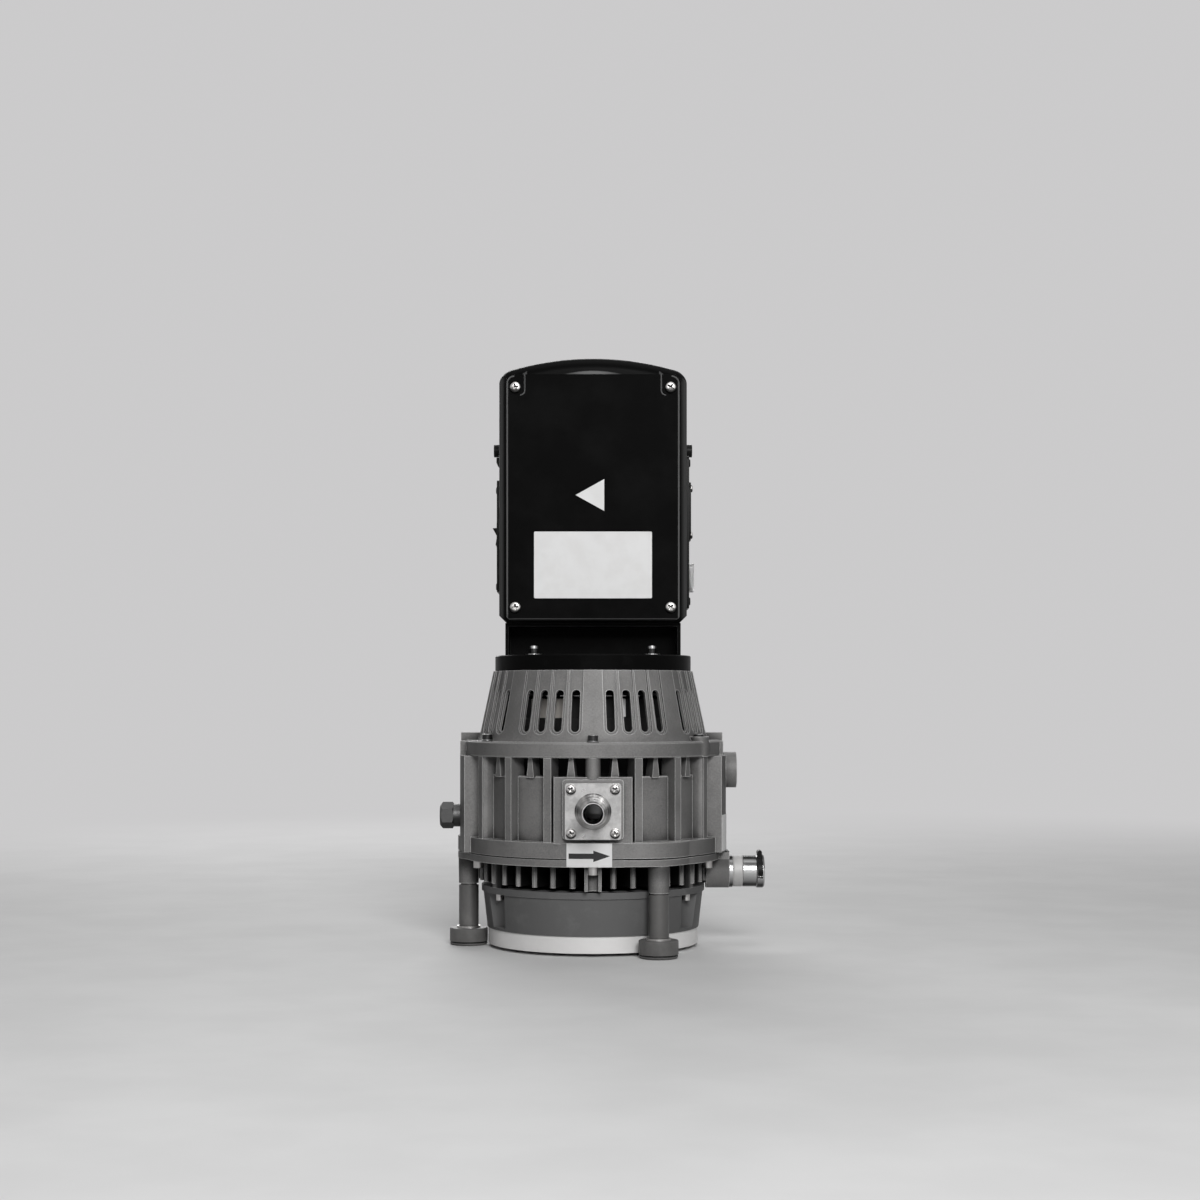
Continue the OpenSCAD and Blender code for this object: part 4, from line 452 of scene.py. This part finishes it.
def bare_metal(name, level, roughness, warm=0.0, lines=(1, 1, 1), line_depth=0.00001, under=0.0):
    """Bare or plated metal: fine machining lines, faint stains and rubbed edges. By the share under, its
    undersides and the lower halves of the lid's upper screws are darkened as painted shade."""
    made = Finish(name, Metallic=1.0)
    scored = made.noise(900, 3.0, 0.7, made.stretched(*lines))
    stains = made.noise(70, 4.0, 0.6)
    edges = made.edge_wear_and_highlight(METAL_EDGE)
    body = made.mixed(made.between(stains, 0.35, 0.75), grey(level, warm), grey(level * 0.88, warm))
    made.bump(scored, line_depth, 0.8)
    shine = made.between(scored * 0.5 + stains * 0.5, 0.3, 0.7, roughness * 0.75, roughness * 1.35)
    worn = made.mixed(edges * 0.4, body, grey(min(level * 1.3, 0.95), warm))
    up = made.axes()[2]
    # Painted shade on undersides and on the lower halves of the lid's upper screws, by the share under
    low_half = made.between(up, TOP_SCREW_Z - TOP_SCREW_SOFT, TOP_SCREW_Z, 1, 0) * up.above(BOX_MIDDLE_Z)
    painted_shade_below = made.between(made.upward(), -0.3, 0.05, 1, 0).larger(low_half) * under
    return made.drives(Base_Color=made.mixed(painted_shade_below, worn, grey(0.01)), Roughness=shine)


def polished_barrel(name):
    """Bright plating, with painted reflections in bands that run along the barrel: from the dark underside
    over a bright side and a dull stripe to the black top."""
    made = Finish(name, Metallic=1.0)
    stains = made.noise(70, 4.0, 0.6)
    # Painted reflection: the bands follow which way the surface faces, up or down
    turn = made.upward() * 0.5 + 0.5 + (stains - 0.5) * 0.03
    stops = ((0.1, grey(0.02)), (0.22, grey(0.3)), (0.4, grey(0.62)), (0.56, grey(0.62)),
             (0.62, grey(0.03)), (0.66, grey(0.22)), (0.84, grey(0.16)), (0.93, grey(0.012)))
    bands = made.node("ShaderNodeValToRGB", {"stops": stops}, {0: turn})
    made.bump(made.noise(900, 3.0, 0.7, made.stretched(5, 1, 1)), 0.000006, 0.8)
    return made.drives(Base_Color=bands, Roughness=made.between(stains, 0.3, 0.7, 0.16, 0.26))


def dark_screws(name):
    """Blackened steel screws with painted highlights on their tops and top edges, on bright plated washers.
    """
    made = Finish(name, Metallic=1.0)
    z = made.axes()[2]
    stains = made.noise(300, 4.0, 0.6)
    washer = z.above(BRACKET_FOOT_Z) * z.below(WASHER_TOP_Z)
    # Painted highlight on the screws' tops above SCREW_RIM_Z and on the cover bolts' flat tops and edges
    flat = made.upward().above(0.6).larger(made.edge_wear_and_highlight(MOULDED_EDGE))
    rim = z.above(SCREW_RIM_Z).larger(flat * z.below(COVER_BOLT_Z))
    body = made.mixed(stains, grey(0.03), grey(0.07))
    made.bump(stains, 0.00003, 0.6)
    return made.drives(Base_Color=made.mixed(washer.larger(rim), body, grey(0.62)),
                       Roughness=made.between(stains, 0.3, 0.7, 0.3, 0.45))


def motor_coat(name):
    """Near-black coating, which also stands in as painted shade for the dark inside of the cover. At the
    front it has a pale insulating sleeve and a narrow painted highlight.
    """
    made = Finish(name, Specular_IOR_Level=0.2)
    x, y, z = made.axes()
    clouds = made.noise(60, 4.0, 0.6)
    shown = y.below(MOTOR_FRONT_Y) * z.below(MOTOR_TOP_Z)
    sleeve = (x - SLEEVE_X).size().below(SLEEVE_HALF) * shown
    # Painted highlight: a narrow bright line seen through a slot
    strip = (x - STRIP_X).size().below(STRIP_HALF) * shown * z.above(STRIP_LOW_Z)
    # The near-black body also stands in as painted shade for the dark inside of the cover
    body = made.mixed(clouds, grey(0.008), grey(0.016))
    made.bump(clouds, 0.0002, 0.6)
    body = made.mixed(sleeve, body, (0.5, 0.47, 0.44, 1))
    return made.drives(Base_Color=made.mixed(strip, body, grey(0.8)),
                       Roughness=made.between(clouds, 0.3, 0.7, 0.5, 0.65))


def moulded(name, colour, roughness, specular=0.4, rubbed=0.0):
    """Moulded plastic or rubber: fine grain, faint flow clouds, handling marks, and edges paler from
    rubbing and painted highlight.
    """
    made = Finish(name, Specular_IOR_Level=specular)
    fine = made.noise(1700, 2.0, 0.6)
    flow = made.noise(30, 3.0, 0.6)
    marks = made.between(made.noise(260, 4.0, 0.7, made.stretched(1, 1, 0.25)), 0.58, 0.72)
    paler = tuple(channel * 1.3 + 0.003 for channel in colour[:3]) + (1,)
    body = made.mixed(made.between(flow, 0.35, 0.75) * 0.6 + marks * 0.3, colour, paler)
    made.bump(fine, GRAIN, 0.8)
    # Edges paler from rubbing and from painted highlight, by the share rubbed
    worn = made.mixed(made.edge_wear_and_highlight(MOULDED_EDGE) * rubbed, body, grey(colour[1] * 1.5 + 0.1))
    dull = made.between(fine * 0.6 + marks * 0.4, 0.1, 0.8, roughness - 0.05, roughness + 0.1)
    return made.drives(Base_Color=worn, Roughness=dull)


def foot_rubber(name, level):
    """Black-grey rubber, dull with dust, with a painted shade line above its lip where a groove would be,
    and edges and a top rim paler from rubbing and painted highlight.
    """
    made = Finish(name, Specular_IOR_Level=0.3)
    z = made.axes()[2]
    fine = made.noise(1700, 2.0, 0.6)
    flow = made.noise(60, 3.0, 0.6)
    # Painted shade: a dark line above the lip where a groove would be shaded
    groove = (z - GROOVE_Z).size().below(GROOVE_HALF)
    body = made.mixed(made.between(flow, 0.35, 0.7), grey(level, 0.02), grey(level * 0.75, 0.02))
    # Painted highlight on the top rim and the edges, together with rubbed wear
    rubbed = made.edge_wear_and_highlight(COAT_EDGE).larger(z.above(FOOT_RIM_Z)) * (1 - groove) * 0.7
    made.bump(fine, 0.00006, 0.8)
    body = made.mixed(rubbed, body, grey(level * 2.2))
    return made.drives(Base_Color=made.mixed(groove, body, grey(0.01)),
                       Roughness=made.between(fine, 0.3, 0.7, 0.42, 0.6))


def lid_plastic(name, level):
    """Fine-grained black plastic whose front edges, foot and the edges of its sunk corners carry painted
    highlight lines.
    """
    made = Finish(name, Specular_IOR_Level=0.02)
    x, y, z = made.axes()
    side = x.size()
    fine = made.noise(1700, 2.0, 0.6)
    flow = made.between(made.noise(30, 3.0, 0.6), 0.35, 0.75)
    # Painted highlight lines along the front edges and their round corners, the foot and the sunk corners'
    # edges
    edge = (side - LID_EDGE_X).size().below(LID_EDGE_HALF) * z.below(LID_TURN_Z)
    turn_x = side - LID_TURN_X
    turn_z = z - LID_TURN_Z
    turn = ((turn_x * turn_x + turn_z * turn_z).root() - LID_TURN_R).size().below(LINE_HALF)
    edge = edge.larger(turn * turn_x.above(0) * turn_z.above(0))
    foot = (z - LID_FOOT_Z).size().below(LID_FOOT_HALF) * 0.5
    corner = (side - NOTCH_X).size().below(LINE_HALF) * z.above(NOTCH_Z + NOTCH_R)
    across = side - NOTCH_X - NOTCH_R
    up = z - NOTCH_Z - NOTCH_R
    bend = ((across * across + up * up).root() - NOTCH_R).size().below(LINE_HALF)
    bend = bend * across.below(0) * up.below(0)
    lines = (edge.larger(foot)).larger(corner.larger(bend)) * y.below(LID_FACE_Y)
    made.bump(fine, PEEL, 0.8)
    body = made.mixed(flow * 0.6, grey(level), grey(level * 1.3 + 0.003))
    return made.drives(Base_Color=made.mixed(lines, body, grey(0.09)),
                       Roughness=made.between(fine, 0.3, 0.7, 0.45, 0.6))


def label_film(name):
    """White film: blank, faintly uneven, with a dark arrow on the direction sticker at the band's front."""
    made = Finish(name, Specular_IOR_Level=0.15)
    x, y, z = made.axes()
    sticker = y.below(STICKER_Y) * z.below(BAND_TOP_Z)
    off = (z - ARROW_Z).size()
    shaft = (x - ARROW_TAIL_X).size().below(ARROW_TAIL_HALF) * off.below(ARROW_BAR_HALF)
    slope = (ARROW_TIP - x) * (ARROW_HEAD_HALF / (ARROW_TIP - ARROW_NECK))
    head = x.above(ARROW_NECK) * (off - slope).below(0)
    arrow = sticker * (shaft + head).above(0.5)
    tint = made.mixed(made.between(made.noise(60, 3.0), 0.35, 0.7), grey(0.68), grey(0.64, 0.005))
    tint = made.mixed(x.above(SIDE_STICKER_X) * 0.25, tint, grey(0.3))
    made.bump(made.noise(900, 2.0), 0.00001, 0.5)
    return made.drives(Base_Color=made.mixed(arrow, tint, grey(0.035)),
                       Roughness=made.between(made.noise(400, 2.0), 0.3, 0.7, 0.32, 0.48))


def clear_cap(name):
    """Cloudy clear plastic, for the breaker's cap."""
    made = Finish(name, Roughness=0.3, IOR=1.45, Transmission_Weight=0.85)
    haze = made.noise(500, 3.0)
    made.bump(haze, 0.00003, 0.6)
    return made.drives(Base_Color=made.mixed(haze, grey(0.62), grey(0.82)))


def wound_copper(name):
    """Varnished windings: strands that lie round the motor, with dark gaps between them."""
    made = Finish(name, Metallic=0.6)
    x, y, z = made.axes()
    away = (x * x + y * y).root()
    strands = ((away + z) * 3800 + made.noise(60, 3.0) * 8).wave()
    made.bump(strands, 0.0002, 0.8)
    colour = made.mixed(made.between(strands, -1, 0.4), (0.1, 0.035, 0.015, 1), (0.5, 0.21, 0.09, 1))
    return made.drives(Base_Color=colour, Roughness=made.between(strands, -1, 1, 0.5, 0.32))


def stacked_iron(name):
    """Sheets of iron stacked along the axis, under dark varnish."""
    made = Finish(name, Metallic=0.3)
    z = made.axes()[2]
    sheets = (z * 9000).wave()
    rust = made.noise(120, 4.0)
    made.bump(sheets, 0.0001, 0.8)
    return made.drives(Base_Color=made.mixed(rust, grey(0.01), grey(0.025, 0.03)),
                       Roughness=made.between(rust, 0.3, 0.7, 0.4, 0.6))


MATERIALS = {
    "feet_rubber": foot_rubber("feet_rubber", 0.115),
    "zinc": bare_metal("zinc", 0.52, 0.36, 0.02, (1, 1, 3), under=0.9),
    "plug_steel": bare_metal("plug_steel", 0.1, 0.42, 0.0, (1, 1, 1), under=0.5),
    "screw_black": dark_screws("screw_black"),
    "motor_dark": motor_coat("motor_dark"),
    "leg_paint": painted("leg_paint", 0.115, 0.02, 0.34, specular=0.4, metallic=0.25),
    "cover_paint": painted("cover_paint", 0.115, 0.0, 0.5, specular=0.2),
    "cast_grey": cast_alloy("cast_grey", 0.182, 0.015),
    "pale_metal": turned_alloy("pale_metal", 0.58, 0.01),
    "bright_metal": polished_barrel("bright_metal"),
    "bearing_steel": bare_metal("bearing_steel", 0.52, 0.25),
    "shaft_steel": bare_metal("shaft_steel", 0.46, 0.3, 0.0, (1, 1, 8)),
    "core_iron": stacked_iron("core_iron"),
    "copper": wound_copper("copper"),
    "scroll_alloy": bare_metal("scroll_alloy", 0.5, 0.4, 0.0, (1, 1, 8), 0.00003),
    "seal_white": moulded("seal_white", (0.7, 0.68, 0.62, 1), 0.5),
    "seal_black": moulded("seal_black", grey(0.02), 0.6),
    "black_plastic": moulded("black_plastic", grey(0.006), 0.42, specular=0.1, rubbed=0.2),
    "box_black": powder_coat("box_black", 0.003),
    "lid_black": lid_plastic("lid_black", 0.002),
    "label_white": label_film("label_white"),
    "capacitor_shell": bare_metal("capacitor_shell", 0.62, 0.4, 0.0, (1, 1, 0.2)),
    "contact_brass": bare_metal("contact_brass", 0.6, 0.3, 0.2),
    "button_red": moulded("button_red", (0.35, 0.02, 0.015, 1), 0.35),
    "fan_white": moulded("fan_white", (0.62, 0.62, 0.6, 1), 0.5),
    "boot_clear": clear_cap("boot_clear"),
}


def hand_over(piece, node):
    """piece takes the node's place: its body, its slot and its finish."""
    piece.data.materials.clear()
    piece.data.materials.append(MATERIALS[SLOT_OF[node]])
    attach(piece, BODY_OF[node])
    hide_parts(node)
    return piece


def softened(node, width):
    """A welded copy of a node, flat faces joined, whose sharp edges have a bevel of that width."""
    mesh = frame["nodes"][node].data.copy()
    cage = bmesh.new()
    cage.from_mesh(mesh)
    bmesh.ops.remove_doubles(cage, verts=cage.verts, dist=WELD)
    bmesh.ops.dissolve_limit(cage, angle_limit=FLAT_ANGLE, verts=cage.verts, edges=cage.edges)
    for face in cage.faces:
        face.smooth = True
    for edge in cage.edges:
        edge.smooth = edge.is_manifold and edge.calc_face_angle(0) < SOFT_EDGE_ANGLE
    cage.to_mesh(mesh)
    cage.free()
    mesh.attributes.remove(mesh.attributes["custom_normal"])
    piece = bpy.data.objects.new(node + "_soft", mesh)
    bpy.context.scene.collection.objects.link(piece)
    edges = piece.modifiers.new("edges", "BEVEL")
    edges.width = width
    edges.segments = BEVEL_STEPS
    edges.limit_method = "ANGLE"
    edges.angle_limit = SOFT_EDGE_ANGLE
    edges.harden_normals = True
    edges.use_clamp_overlap = True
    return hand_over(piece, node)


# Nodes whose edges show, with the width of their bevel in millimetres
SOFT_NODES = {
    "pump_housing": 0.7, "motor_cover": 0.6, "fixed_scroll": 0.6, "base_cover": 0.4, "base_grille": 0.3,
    "rubber_feet": 0.4, "leg_posts": 0.3, "inlet_flange": 0.25, "box_lid": 0.5, "box_bracket": 0.4,
    "top_plate": 0.3, "side_panels": 0.4, "power_inlet": 0.3, "switch_body": 0.2, "power_rocker": 0.3,
    "ballast_plug": 0.3, "exhaust_collar": 0.3, "exhaust_coupling": 0.2, "coupling_latch": 0.3,
    "breaker_body": 0.3, "breaker_boot": 0.4, "bracket_screws": 0.3, "cover_bolts": 0.25,
    "stage_screws": 0.25, "box_side_screws": 0.3,
}


def woven(rows, name):
    """A closed skin over rows of points: quads between neighbouring rows, flat caps at both ends."""
    count, around = rows.shape[:2]
    index = np.arange(count * around).reshape(count, around)
    ahead = np.roll(index, -1, axis=1)
    quads = np.stack([index[:-1], ahead[:-1], ahead[1:], index[1:]], axis=-1).reshape(-1, 4)
    faces = quads.tolist() + [index[0][::-1].tolist(), index[-1].tolist()]
    mesh = bpy.data.meshes.new(name)
    mesh.from_pydata((rows.reshape(-1, 3) * MM).tolist(), [], faces)
    mesh.update()
    skin = bmesh.new()
    skin.from_mesh(mesh)
    bmesh.ops.recalc_face_normals(skin, faces=skin.faces)
    for face in skin.faces:
        face.smooth = True
    for edge in skin.edges:
        edge.smooth = edge.calc_face_angle(0) < SOFT_EDGE_ANGLE
    skin.to_mesh(mesh)
    skin.free()
    piece = bpy.data.objects.new(name, mesh)
    bpy.context.scene.collection.objects.link(piece)
    return piece


def span(low, high):
    """Where each of many values lies between low and high, eased from 0 to 1."""
    def share(values):
        """Eased by 3 t^2 - 2 t^3, where t is the share of the way."""
        t = np.clip((values - low) / (high - low), 0, 1)
        return t * t * (3 - 2 * t)
    return share


def turned(centre, radius, first, last, steps):
    """Points on an arc, with the arc's outward direction beside each."""
    angle = np.radians(np.linspace(first, last, steps))
    out = np.stack([np.cos(angle), np.sin(angle)], axis=-1)
    return np.asarray(centre) + radius * out, out


def box_skin():
    """The box's shell as one skin. At the front its outline is drawn in by a quarter circle, whose radius
    grows from the sides to the arch. The skin then runs over the frame, through the lid's opening and round
    the hollow inside."""
    half = BOX_W / 2
    arch = (half ** 2 + ARCH_RISE ** 2) / (2 * ARCH_RISE)
    foot = Z_CROWN - arch
    shoulder = foot + math.sqrt((arch - CORNER_R) ** 2 - (half - CORNER_R) ** 2)
    lean = math.degrees(math.atan2(shoulder - foot, half - CORNER_R))
    parts = [turned((half - CORNER_R, shoulder), CORNER_R, 0, lean, CORNER_STEPS)]
    parts.append(turned((0, foot), arch, lean, 180 - lean, ARCH_STEPS))
    parts.append(turned((CORNER_R - half, shoulder), CORNER_R, 180 - lean, 180, CORNER_STEPS))
    side = np.linspace(shoulder, Z_BOX + CHAMFER, CORNER_STEPS)[1:]
    parts.append((np.stack([side * 0 - half, side], axis=-1), np.tile((-1.0, 0.0), (len(side), 1))))
    low = np.linspace(CHAMFER - half, half - CHAMFER, FOOT_STEPS)
    parts.append((np.stack([low, low * 0 + Z_BOX], axis=-1), np.tile((0.0, -1.0), (len(low), 1))))
    parts.append((np.stack([side * 0 + half, side], axis=-1)[::-1], np.tile((1.0, 0.0), (len(side), 1))))
    outline = np.concatenate([spot for spot, _ in parts])
    out = np.concatenate([way for _, way in parts])
    grown = span(Z_CROWN - ARCH_BLEND_LOW, Z_CROWN - ARCH_BLEND_HIGH)(outline[:, 1])
    rim = SIDE_RIM_R + (TOP_RIM_R - SIDE_RIM_R) * grown
    middle = np.array((0, LID_MIDDLE_Z))
    ray = outline - middle
    reach = np.min(np.array((OPENING_W / 2, OPENING_H / 2)) / np.maximum(np.abs(ray), 1e-6), axis=1)
    mouth = middle + ray * reach[:, None]

    def row(y, inset):
        """The outline at that Y, drawn in by the inset."""
        flat = outline - out * np.asarray(inset).reshape(-1, 1)
        return np.stack([flat[:, 0], y + 0 * flat[:, 0], flat[:, 1]], axis=-1)

    def mouth_row(y):
        """The lid's opening at that Y."""
        return np.stack([mouth[:, 0], y + 0 * mouth[:, 0], mouth[:, 1]], axis=-1)

    rows = [row(BOX_BACK - BOX_WALL, BOX_WALL), row(BOX_FRONT + BOX_WALL, BOX_WALL + INNER_STEP)]
    rows += [mouth_row(BOX_FRONT + BOX_WALL), mouth_row(BOX_FRONT)]
    for turn in np.radians(np.linspace(90, 0, RIM_STEPS)):
        rows.append(row(BOX_FRONT + rim * (1 - math.sin(turn)), rim * (1 - math.cos(turn))))
    for turn in np.radians(np.linspace(0, 90, BACK_STEPS)):
        rows.append(row(BOX_BACK - BACK_RIM_R * (1 - math.sin(turn)), BACK_RIM_R * (1 - math.cos(turn))))
    return hand_over(woven(np.stack(rows), "box_shell_skin"), "box_shell")


# Sizes of the box in millimetres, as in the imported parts
BOX_W = 160
Z_BOX = 279
Z_CROWN = 505.5
ARCH_RISE = 13.2
CORNER_R = 13
CHAMFER = 6
BOX_BACK = 48
BOX_FRONT = -44
BOX_WALL = 4
SIDE_RIM_R = 3.6
TOP_RIM_R = 11.2
BACK_RIM_R = 2
ARCH_BLEND_LOW = 24
ARCH_BLEND_HIGH = 12
INNER_STEP = 2
CORNER_STEPS = 12
ARCH_STEPS = 60
FOOT_STEPS = 8
RIM_STEPS = 10
BACK_STEPS = 4
LID_W = 149.3
LID_H = 209.2
LID_RISE = 1.5
LID_MIDDLE_Z = Z_BOX + LID_RISE + LID_H / 2
LID_FRAME = 13.6
OPENING_W = LID_W - 2 * LID_FRAME
OPENING_H = LID_H - 2 * LID_FRAME


def cross_head(place, radius, height, turn):
    """Rows of a pan head that looks towards -Y, or towards +X where it lies beyond the box's side. At the
    share t of its radius it stands up by its height times the fourth root of 1 - t^4, less a cross, which
    is cut where the nearer of its two axes is close."""
    share = np.concatenate([np.linspace(0.02, 0.62, 19), np.linspace(0.66, 1, 12)])[:, None]
    angle = np.linspace(0, 2 * np.pi, 96, endpoint=False)[None, :]
    u = share * np.cos(angle)
    v = share * np.sin(angle)
    up = height * (1 - share ** 4) ** 0.25 + 0 * u
    near = np.minimum(np.abs(u), np.abs(v))
    cut = np.clip((CROSS_HALF - near) / CROSS_WALL, 0, 1)
    cut = cut * np.clip((CROSS_REACH - share) / CROSS_END, 0, 1)
    up -= cut * height * CROSS_DEPTH * (1 - 0.6 * share)
    up[-1] = HEAD_FOOT
    swing = math.radians(turn)
    across = radius * (u * math.cos(swing) - v * math.sin(swing))
    along = radius * (u * math.sin(swing) + v * math.cos(swing))
    if place[0] > BOX_W / 2:
        return np.stack([place[0] + up, place[1] + across, place[2] + along], axis=-1)
    return np.stack([place[0] + across, place[1] - up, place[2] + along], axis=-1)


# The cross in a screw's head as shares of its radius and height, the height of the head's foot in
# millimetres, and how far the first screw and each next one are turned, in degrees
CROSS_HALF = 0.17
CROSS_WALL = 0.06
CROSS_REACH = 0.6
CROSS_END = 0.1
CROSS_DEPTH = 0.9
HEAD_FOOT = 0.02
FIRST_TURN = 17
NEXT_TURN = 41


def joined(pieces, name):
    """One mesh out of several pieces."""
    cage = bmesh.new()
    for piece in pieces:
        cage.from_mesh(piece.data)
        bpy.data.objects.remove(piece)
    mesh = bpy.data.meshes.new(name)
    cage.to_mesh(mesh)
    cage.free()
    whole = bpy.data.objects.new(name, mesh)
    bpy.context.scene.collection.objects.link(whole)
    return whole


def cross_screws(name, node, places):
    """Screws with cross heads, each turned its own way. A place is x, y, z, radius and height."""
    heads = []
    for number, place in enumerate(places):
        rows = cross_head(place, place[3], place[4], FIRST_TURN + NEXT_TURN * number)
        heads.append(woven(rows, name + str(number)))
    return hand_over(joined(heads, name), node)


# Screws on the lid, on the mains socket and on the inlet plate, in millimetres
LID_DEPTH = 6
LID_FRONT = BOX_FRONT - LID_DEPTH
LID_NOTCH = 2
LID_SCREW_IN = 8.75
LID_SCREW_DOWN = 11.2
LID_SCREW_X = LID_W / 2 - LID_SCREW_IN
LID_SCREW_UP = LID_H / 2 - LID_SCREW_DOWN
LID_SCREW_R = 4.65
LID_SCREW_H = 3.2
SOCKET_X = 85.0
SOCKET_SCREW_LOW = 78.0
SOCKET_SCREW_HIGH = 118.6
SOCKET_SCREW_R = 3.2
SOCKET_SCREW_H = 2
LID_SCREWS = (
    (-LID_SCREW_X, LID_FRONT + LID_NOTCH, LID_MIDDLE_Z + LID_SCREW_UP, LID_SCREW_R, LID_SCREW_H),
    (LID_SCREW_X, LID_FRONT + LID_NOTCH, LID_MIDDLE_Z + LID_SCREW_UP, LID_SCREW_R, LID_SCREW_H),
    (-LID_SCREW_X, LID_FRONT, LID_MIDDLE_Z - LID_SCREW_UP, LID_SCREW_R, LID_SCREW_H),
    (LID_SCREW_X, LID_FRONT, LID_MIDDLE_Z - LID_SCREW_UP, LID_SCREW_R, LID_SCREW_H),
    (SOCKET_X, 0, Z_BOX + SOCKET_SCREW_HIGH, SOCKET_SCREW_R, SOCKET_SCREW_H),
    (SOCKET_X, 0, Z_BOX + SOCKET_SCREW_LOW, SOCKET_SCREW_R, SOCKET_SCREW_H),
)
PLATE_FACE = -116.2
PLATE_UP = 122.1
PLATE_SCREW_R = 4.25
PLATE_SCREW_H = 3.6
PLATE_HALF = 18
PLATE_CORNERS = [(x * PLATE_HALF, up * PLATE_HALF) for x in (-1, 1) for up in (-1, 1)]
INLET_SCREWS = [(x, PLATE_FACE, PLATE_UP + up, PLATE_SCREW_R, PLATE_SCREW_H) for x, up in PLATE_CORNERS]


def camera_and_light():
    """The level camera and the soft lamps: a key in front, weak fills, one above and one behind."""
    scene = bpy.context.scene
    scene.view_settings.view_transform = "Standard"
    lens = bpy.data.cameras.new("photo_camera")
    lens.lens = LENS
    lens.sensor_width = SENSOR
    lens.shift_x = SHIFT_RIGHT
    lens.shift_y = SHIFT_UP
    camera = bpy.data.objects.new("photo_camera", lens)
    camera.location = (0, -CAMERA_AWAY, CAMERA_UP)
    camera.rotation_euler = (math.pi / 2, 0, 0)
    scene.collection.objects.link(camera)
    scene.camera = camera
    for name, place, side, power in LAMPS:
        lamp = bpy.data.lights.new(name, "AREA")
        lamp.size = side
        lamp.energy = power
        holder = bpy.data.objects.new(name, lamp)
        holder.location = place
        aim = np.array((0, 0, LAMP_AIM_Z)) - np.array(place)
        tilt = math.atan2(math.hypot(aim[0], aim[1]), -aim[2])
        holder.rotation_euler = (tilt, 0, math.atan2(-aim[0], aim[1]))
        scene.collection.objects.link(holder)


# Name, place, side and power of each soft lamp, and the height that they look at
LAMP_AIM_Z = 0.25
LAMPS = (
    ("key_lamp", (0.35, -2.2, 1.25), 0.9, 47),
    ("side_lamp", (2.0, -0.7, 0.9), 1.2, 1.2),
    ("left_lamp", (-2.0, -1.2, 1.0), 1.2, 0.8),
    ("top_lamp", (0.1, -0.2, 2.2), 1.2, 8),
    ("back_lamp", (-0.4, 2.0, 1.2), 1.4, 26),
)


def pale_world():
    """A low even glow, which the camera and mirrors see as the pale background."""
    world = bpy.data.worlds.new("studio")
    bpy.context.scene.world = world
    world.use_nodes = True
    tree = world.node_tree
    glow = tree.nodes["Background"]
    ray = tree.nodes.new("ShaderNodeLightPath")
    seen = tree.nodes.new("ShaderNodeMath")
    seen.operation = "MAXIMUM"
    tree.links.new(ray.outputs["Is Camera Ray"], seen.inputs[0])
    seen_too = tree.nodes.new("ShaderNodeMath")
    seen_too.operation = "MAXIMUM"
    tree.links.new(ray.outputs["Is Glossy Ray"], seen_too.inputs[0])
    tree.links.new(ray.outputs["Is Transmission Ray"], seen_too.inputs[1])
    tree.links.new(seen_too.outputs[0], seen.inputs[1])
    blend = tree.nodes.new("ShaderNodeMix")
    blend.data_type = "RGBA"
    blend.inputs[6].default_value = grey(WORLD_GLOW)
    blend.inputs[7].default_value = PALE_BACKGROUND
    tree.links.new(seen.outputs[0], blend.inputs[0])
    tree.links.new(blend.outputs[2], glow.inputs["Color"])


def pale_floor():
    """A wide pale floor, which keeps the pump's shadow and fades into the background further out."""
    corners = [(x * FLOOR_HALF, y * FLOOR_HALF, 0) for x, y in ((-1, -1), (1, -1), (1, 1), (-1, 1))]
    mesh = bpy.data.meshes.new("floor")
    mesh.from_pydata(corners, [], [(0, 1, 2, 3)])
    floor = bpy.data.objects.new("floor", mesh)
    bpy.context.scene.collection.objects.link(floor)
    made = Finish("floor_paint", Roughness=0.8, Specular_IOR_Level=0.2)
    x, y, z = made.axes()
    away = (x * x + y * y).root()
    ray = made.tree.nodes.new("ShaderNodeLightPath")
    seen = Value(made, ray.outputs["Is Camera Ray"])
    far = made.between(away, FADE_FROM, FADE_TO) * seen
    tone = made.mixed(made.between(made.noise(9, 4.0), 0.3, 0.7), grey(0.62), grey(0.66))
    made.bump(made.noise(300, 3.0), 0.0001, 0.4)
    made.drives(Base_Color=tone)
    glow = made.node("ShaderNodeEmission", {}, {"Color": PALE_BACKGROUND})
    shader = Value(made, made.shader.outputs[0])
    blend = made.node("ShaderNodeMixShader", {}, {0: far, 1: shader, 2: glow})
    made.tree.links.new(blend.socket, made.tree.nodes["Material Output"].inputs["Surface"])
    mesh.materials.append(made.material)


for node, piece in frame["nodes"].items():
    piece.data.materials.clear()
    piece.data.materials.append(MATERIALS[SLOT_OF[node]])
for node, width in SOFT_NODES.items():
    softened(node, width * MM)
box_skin()
cross_screws("lid_screw_heads", "box_screws", LID_SCREWS)
cross_screws("inlet_screw_heads", "inlet_screws", INLET_SCREWS)
camera_and_light()
pale_world()
pale_floor()
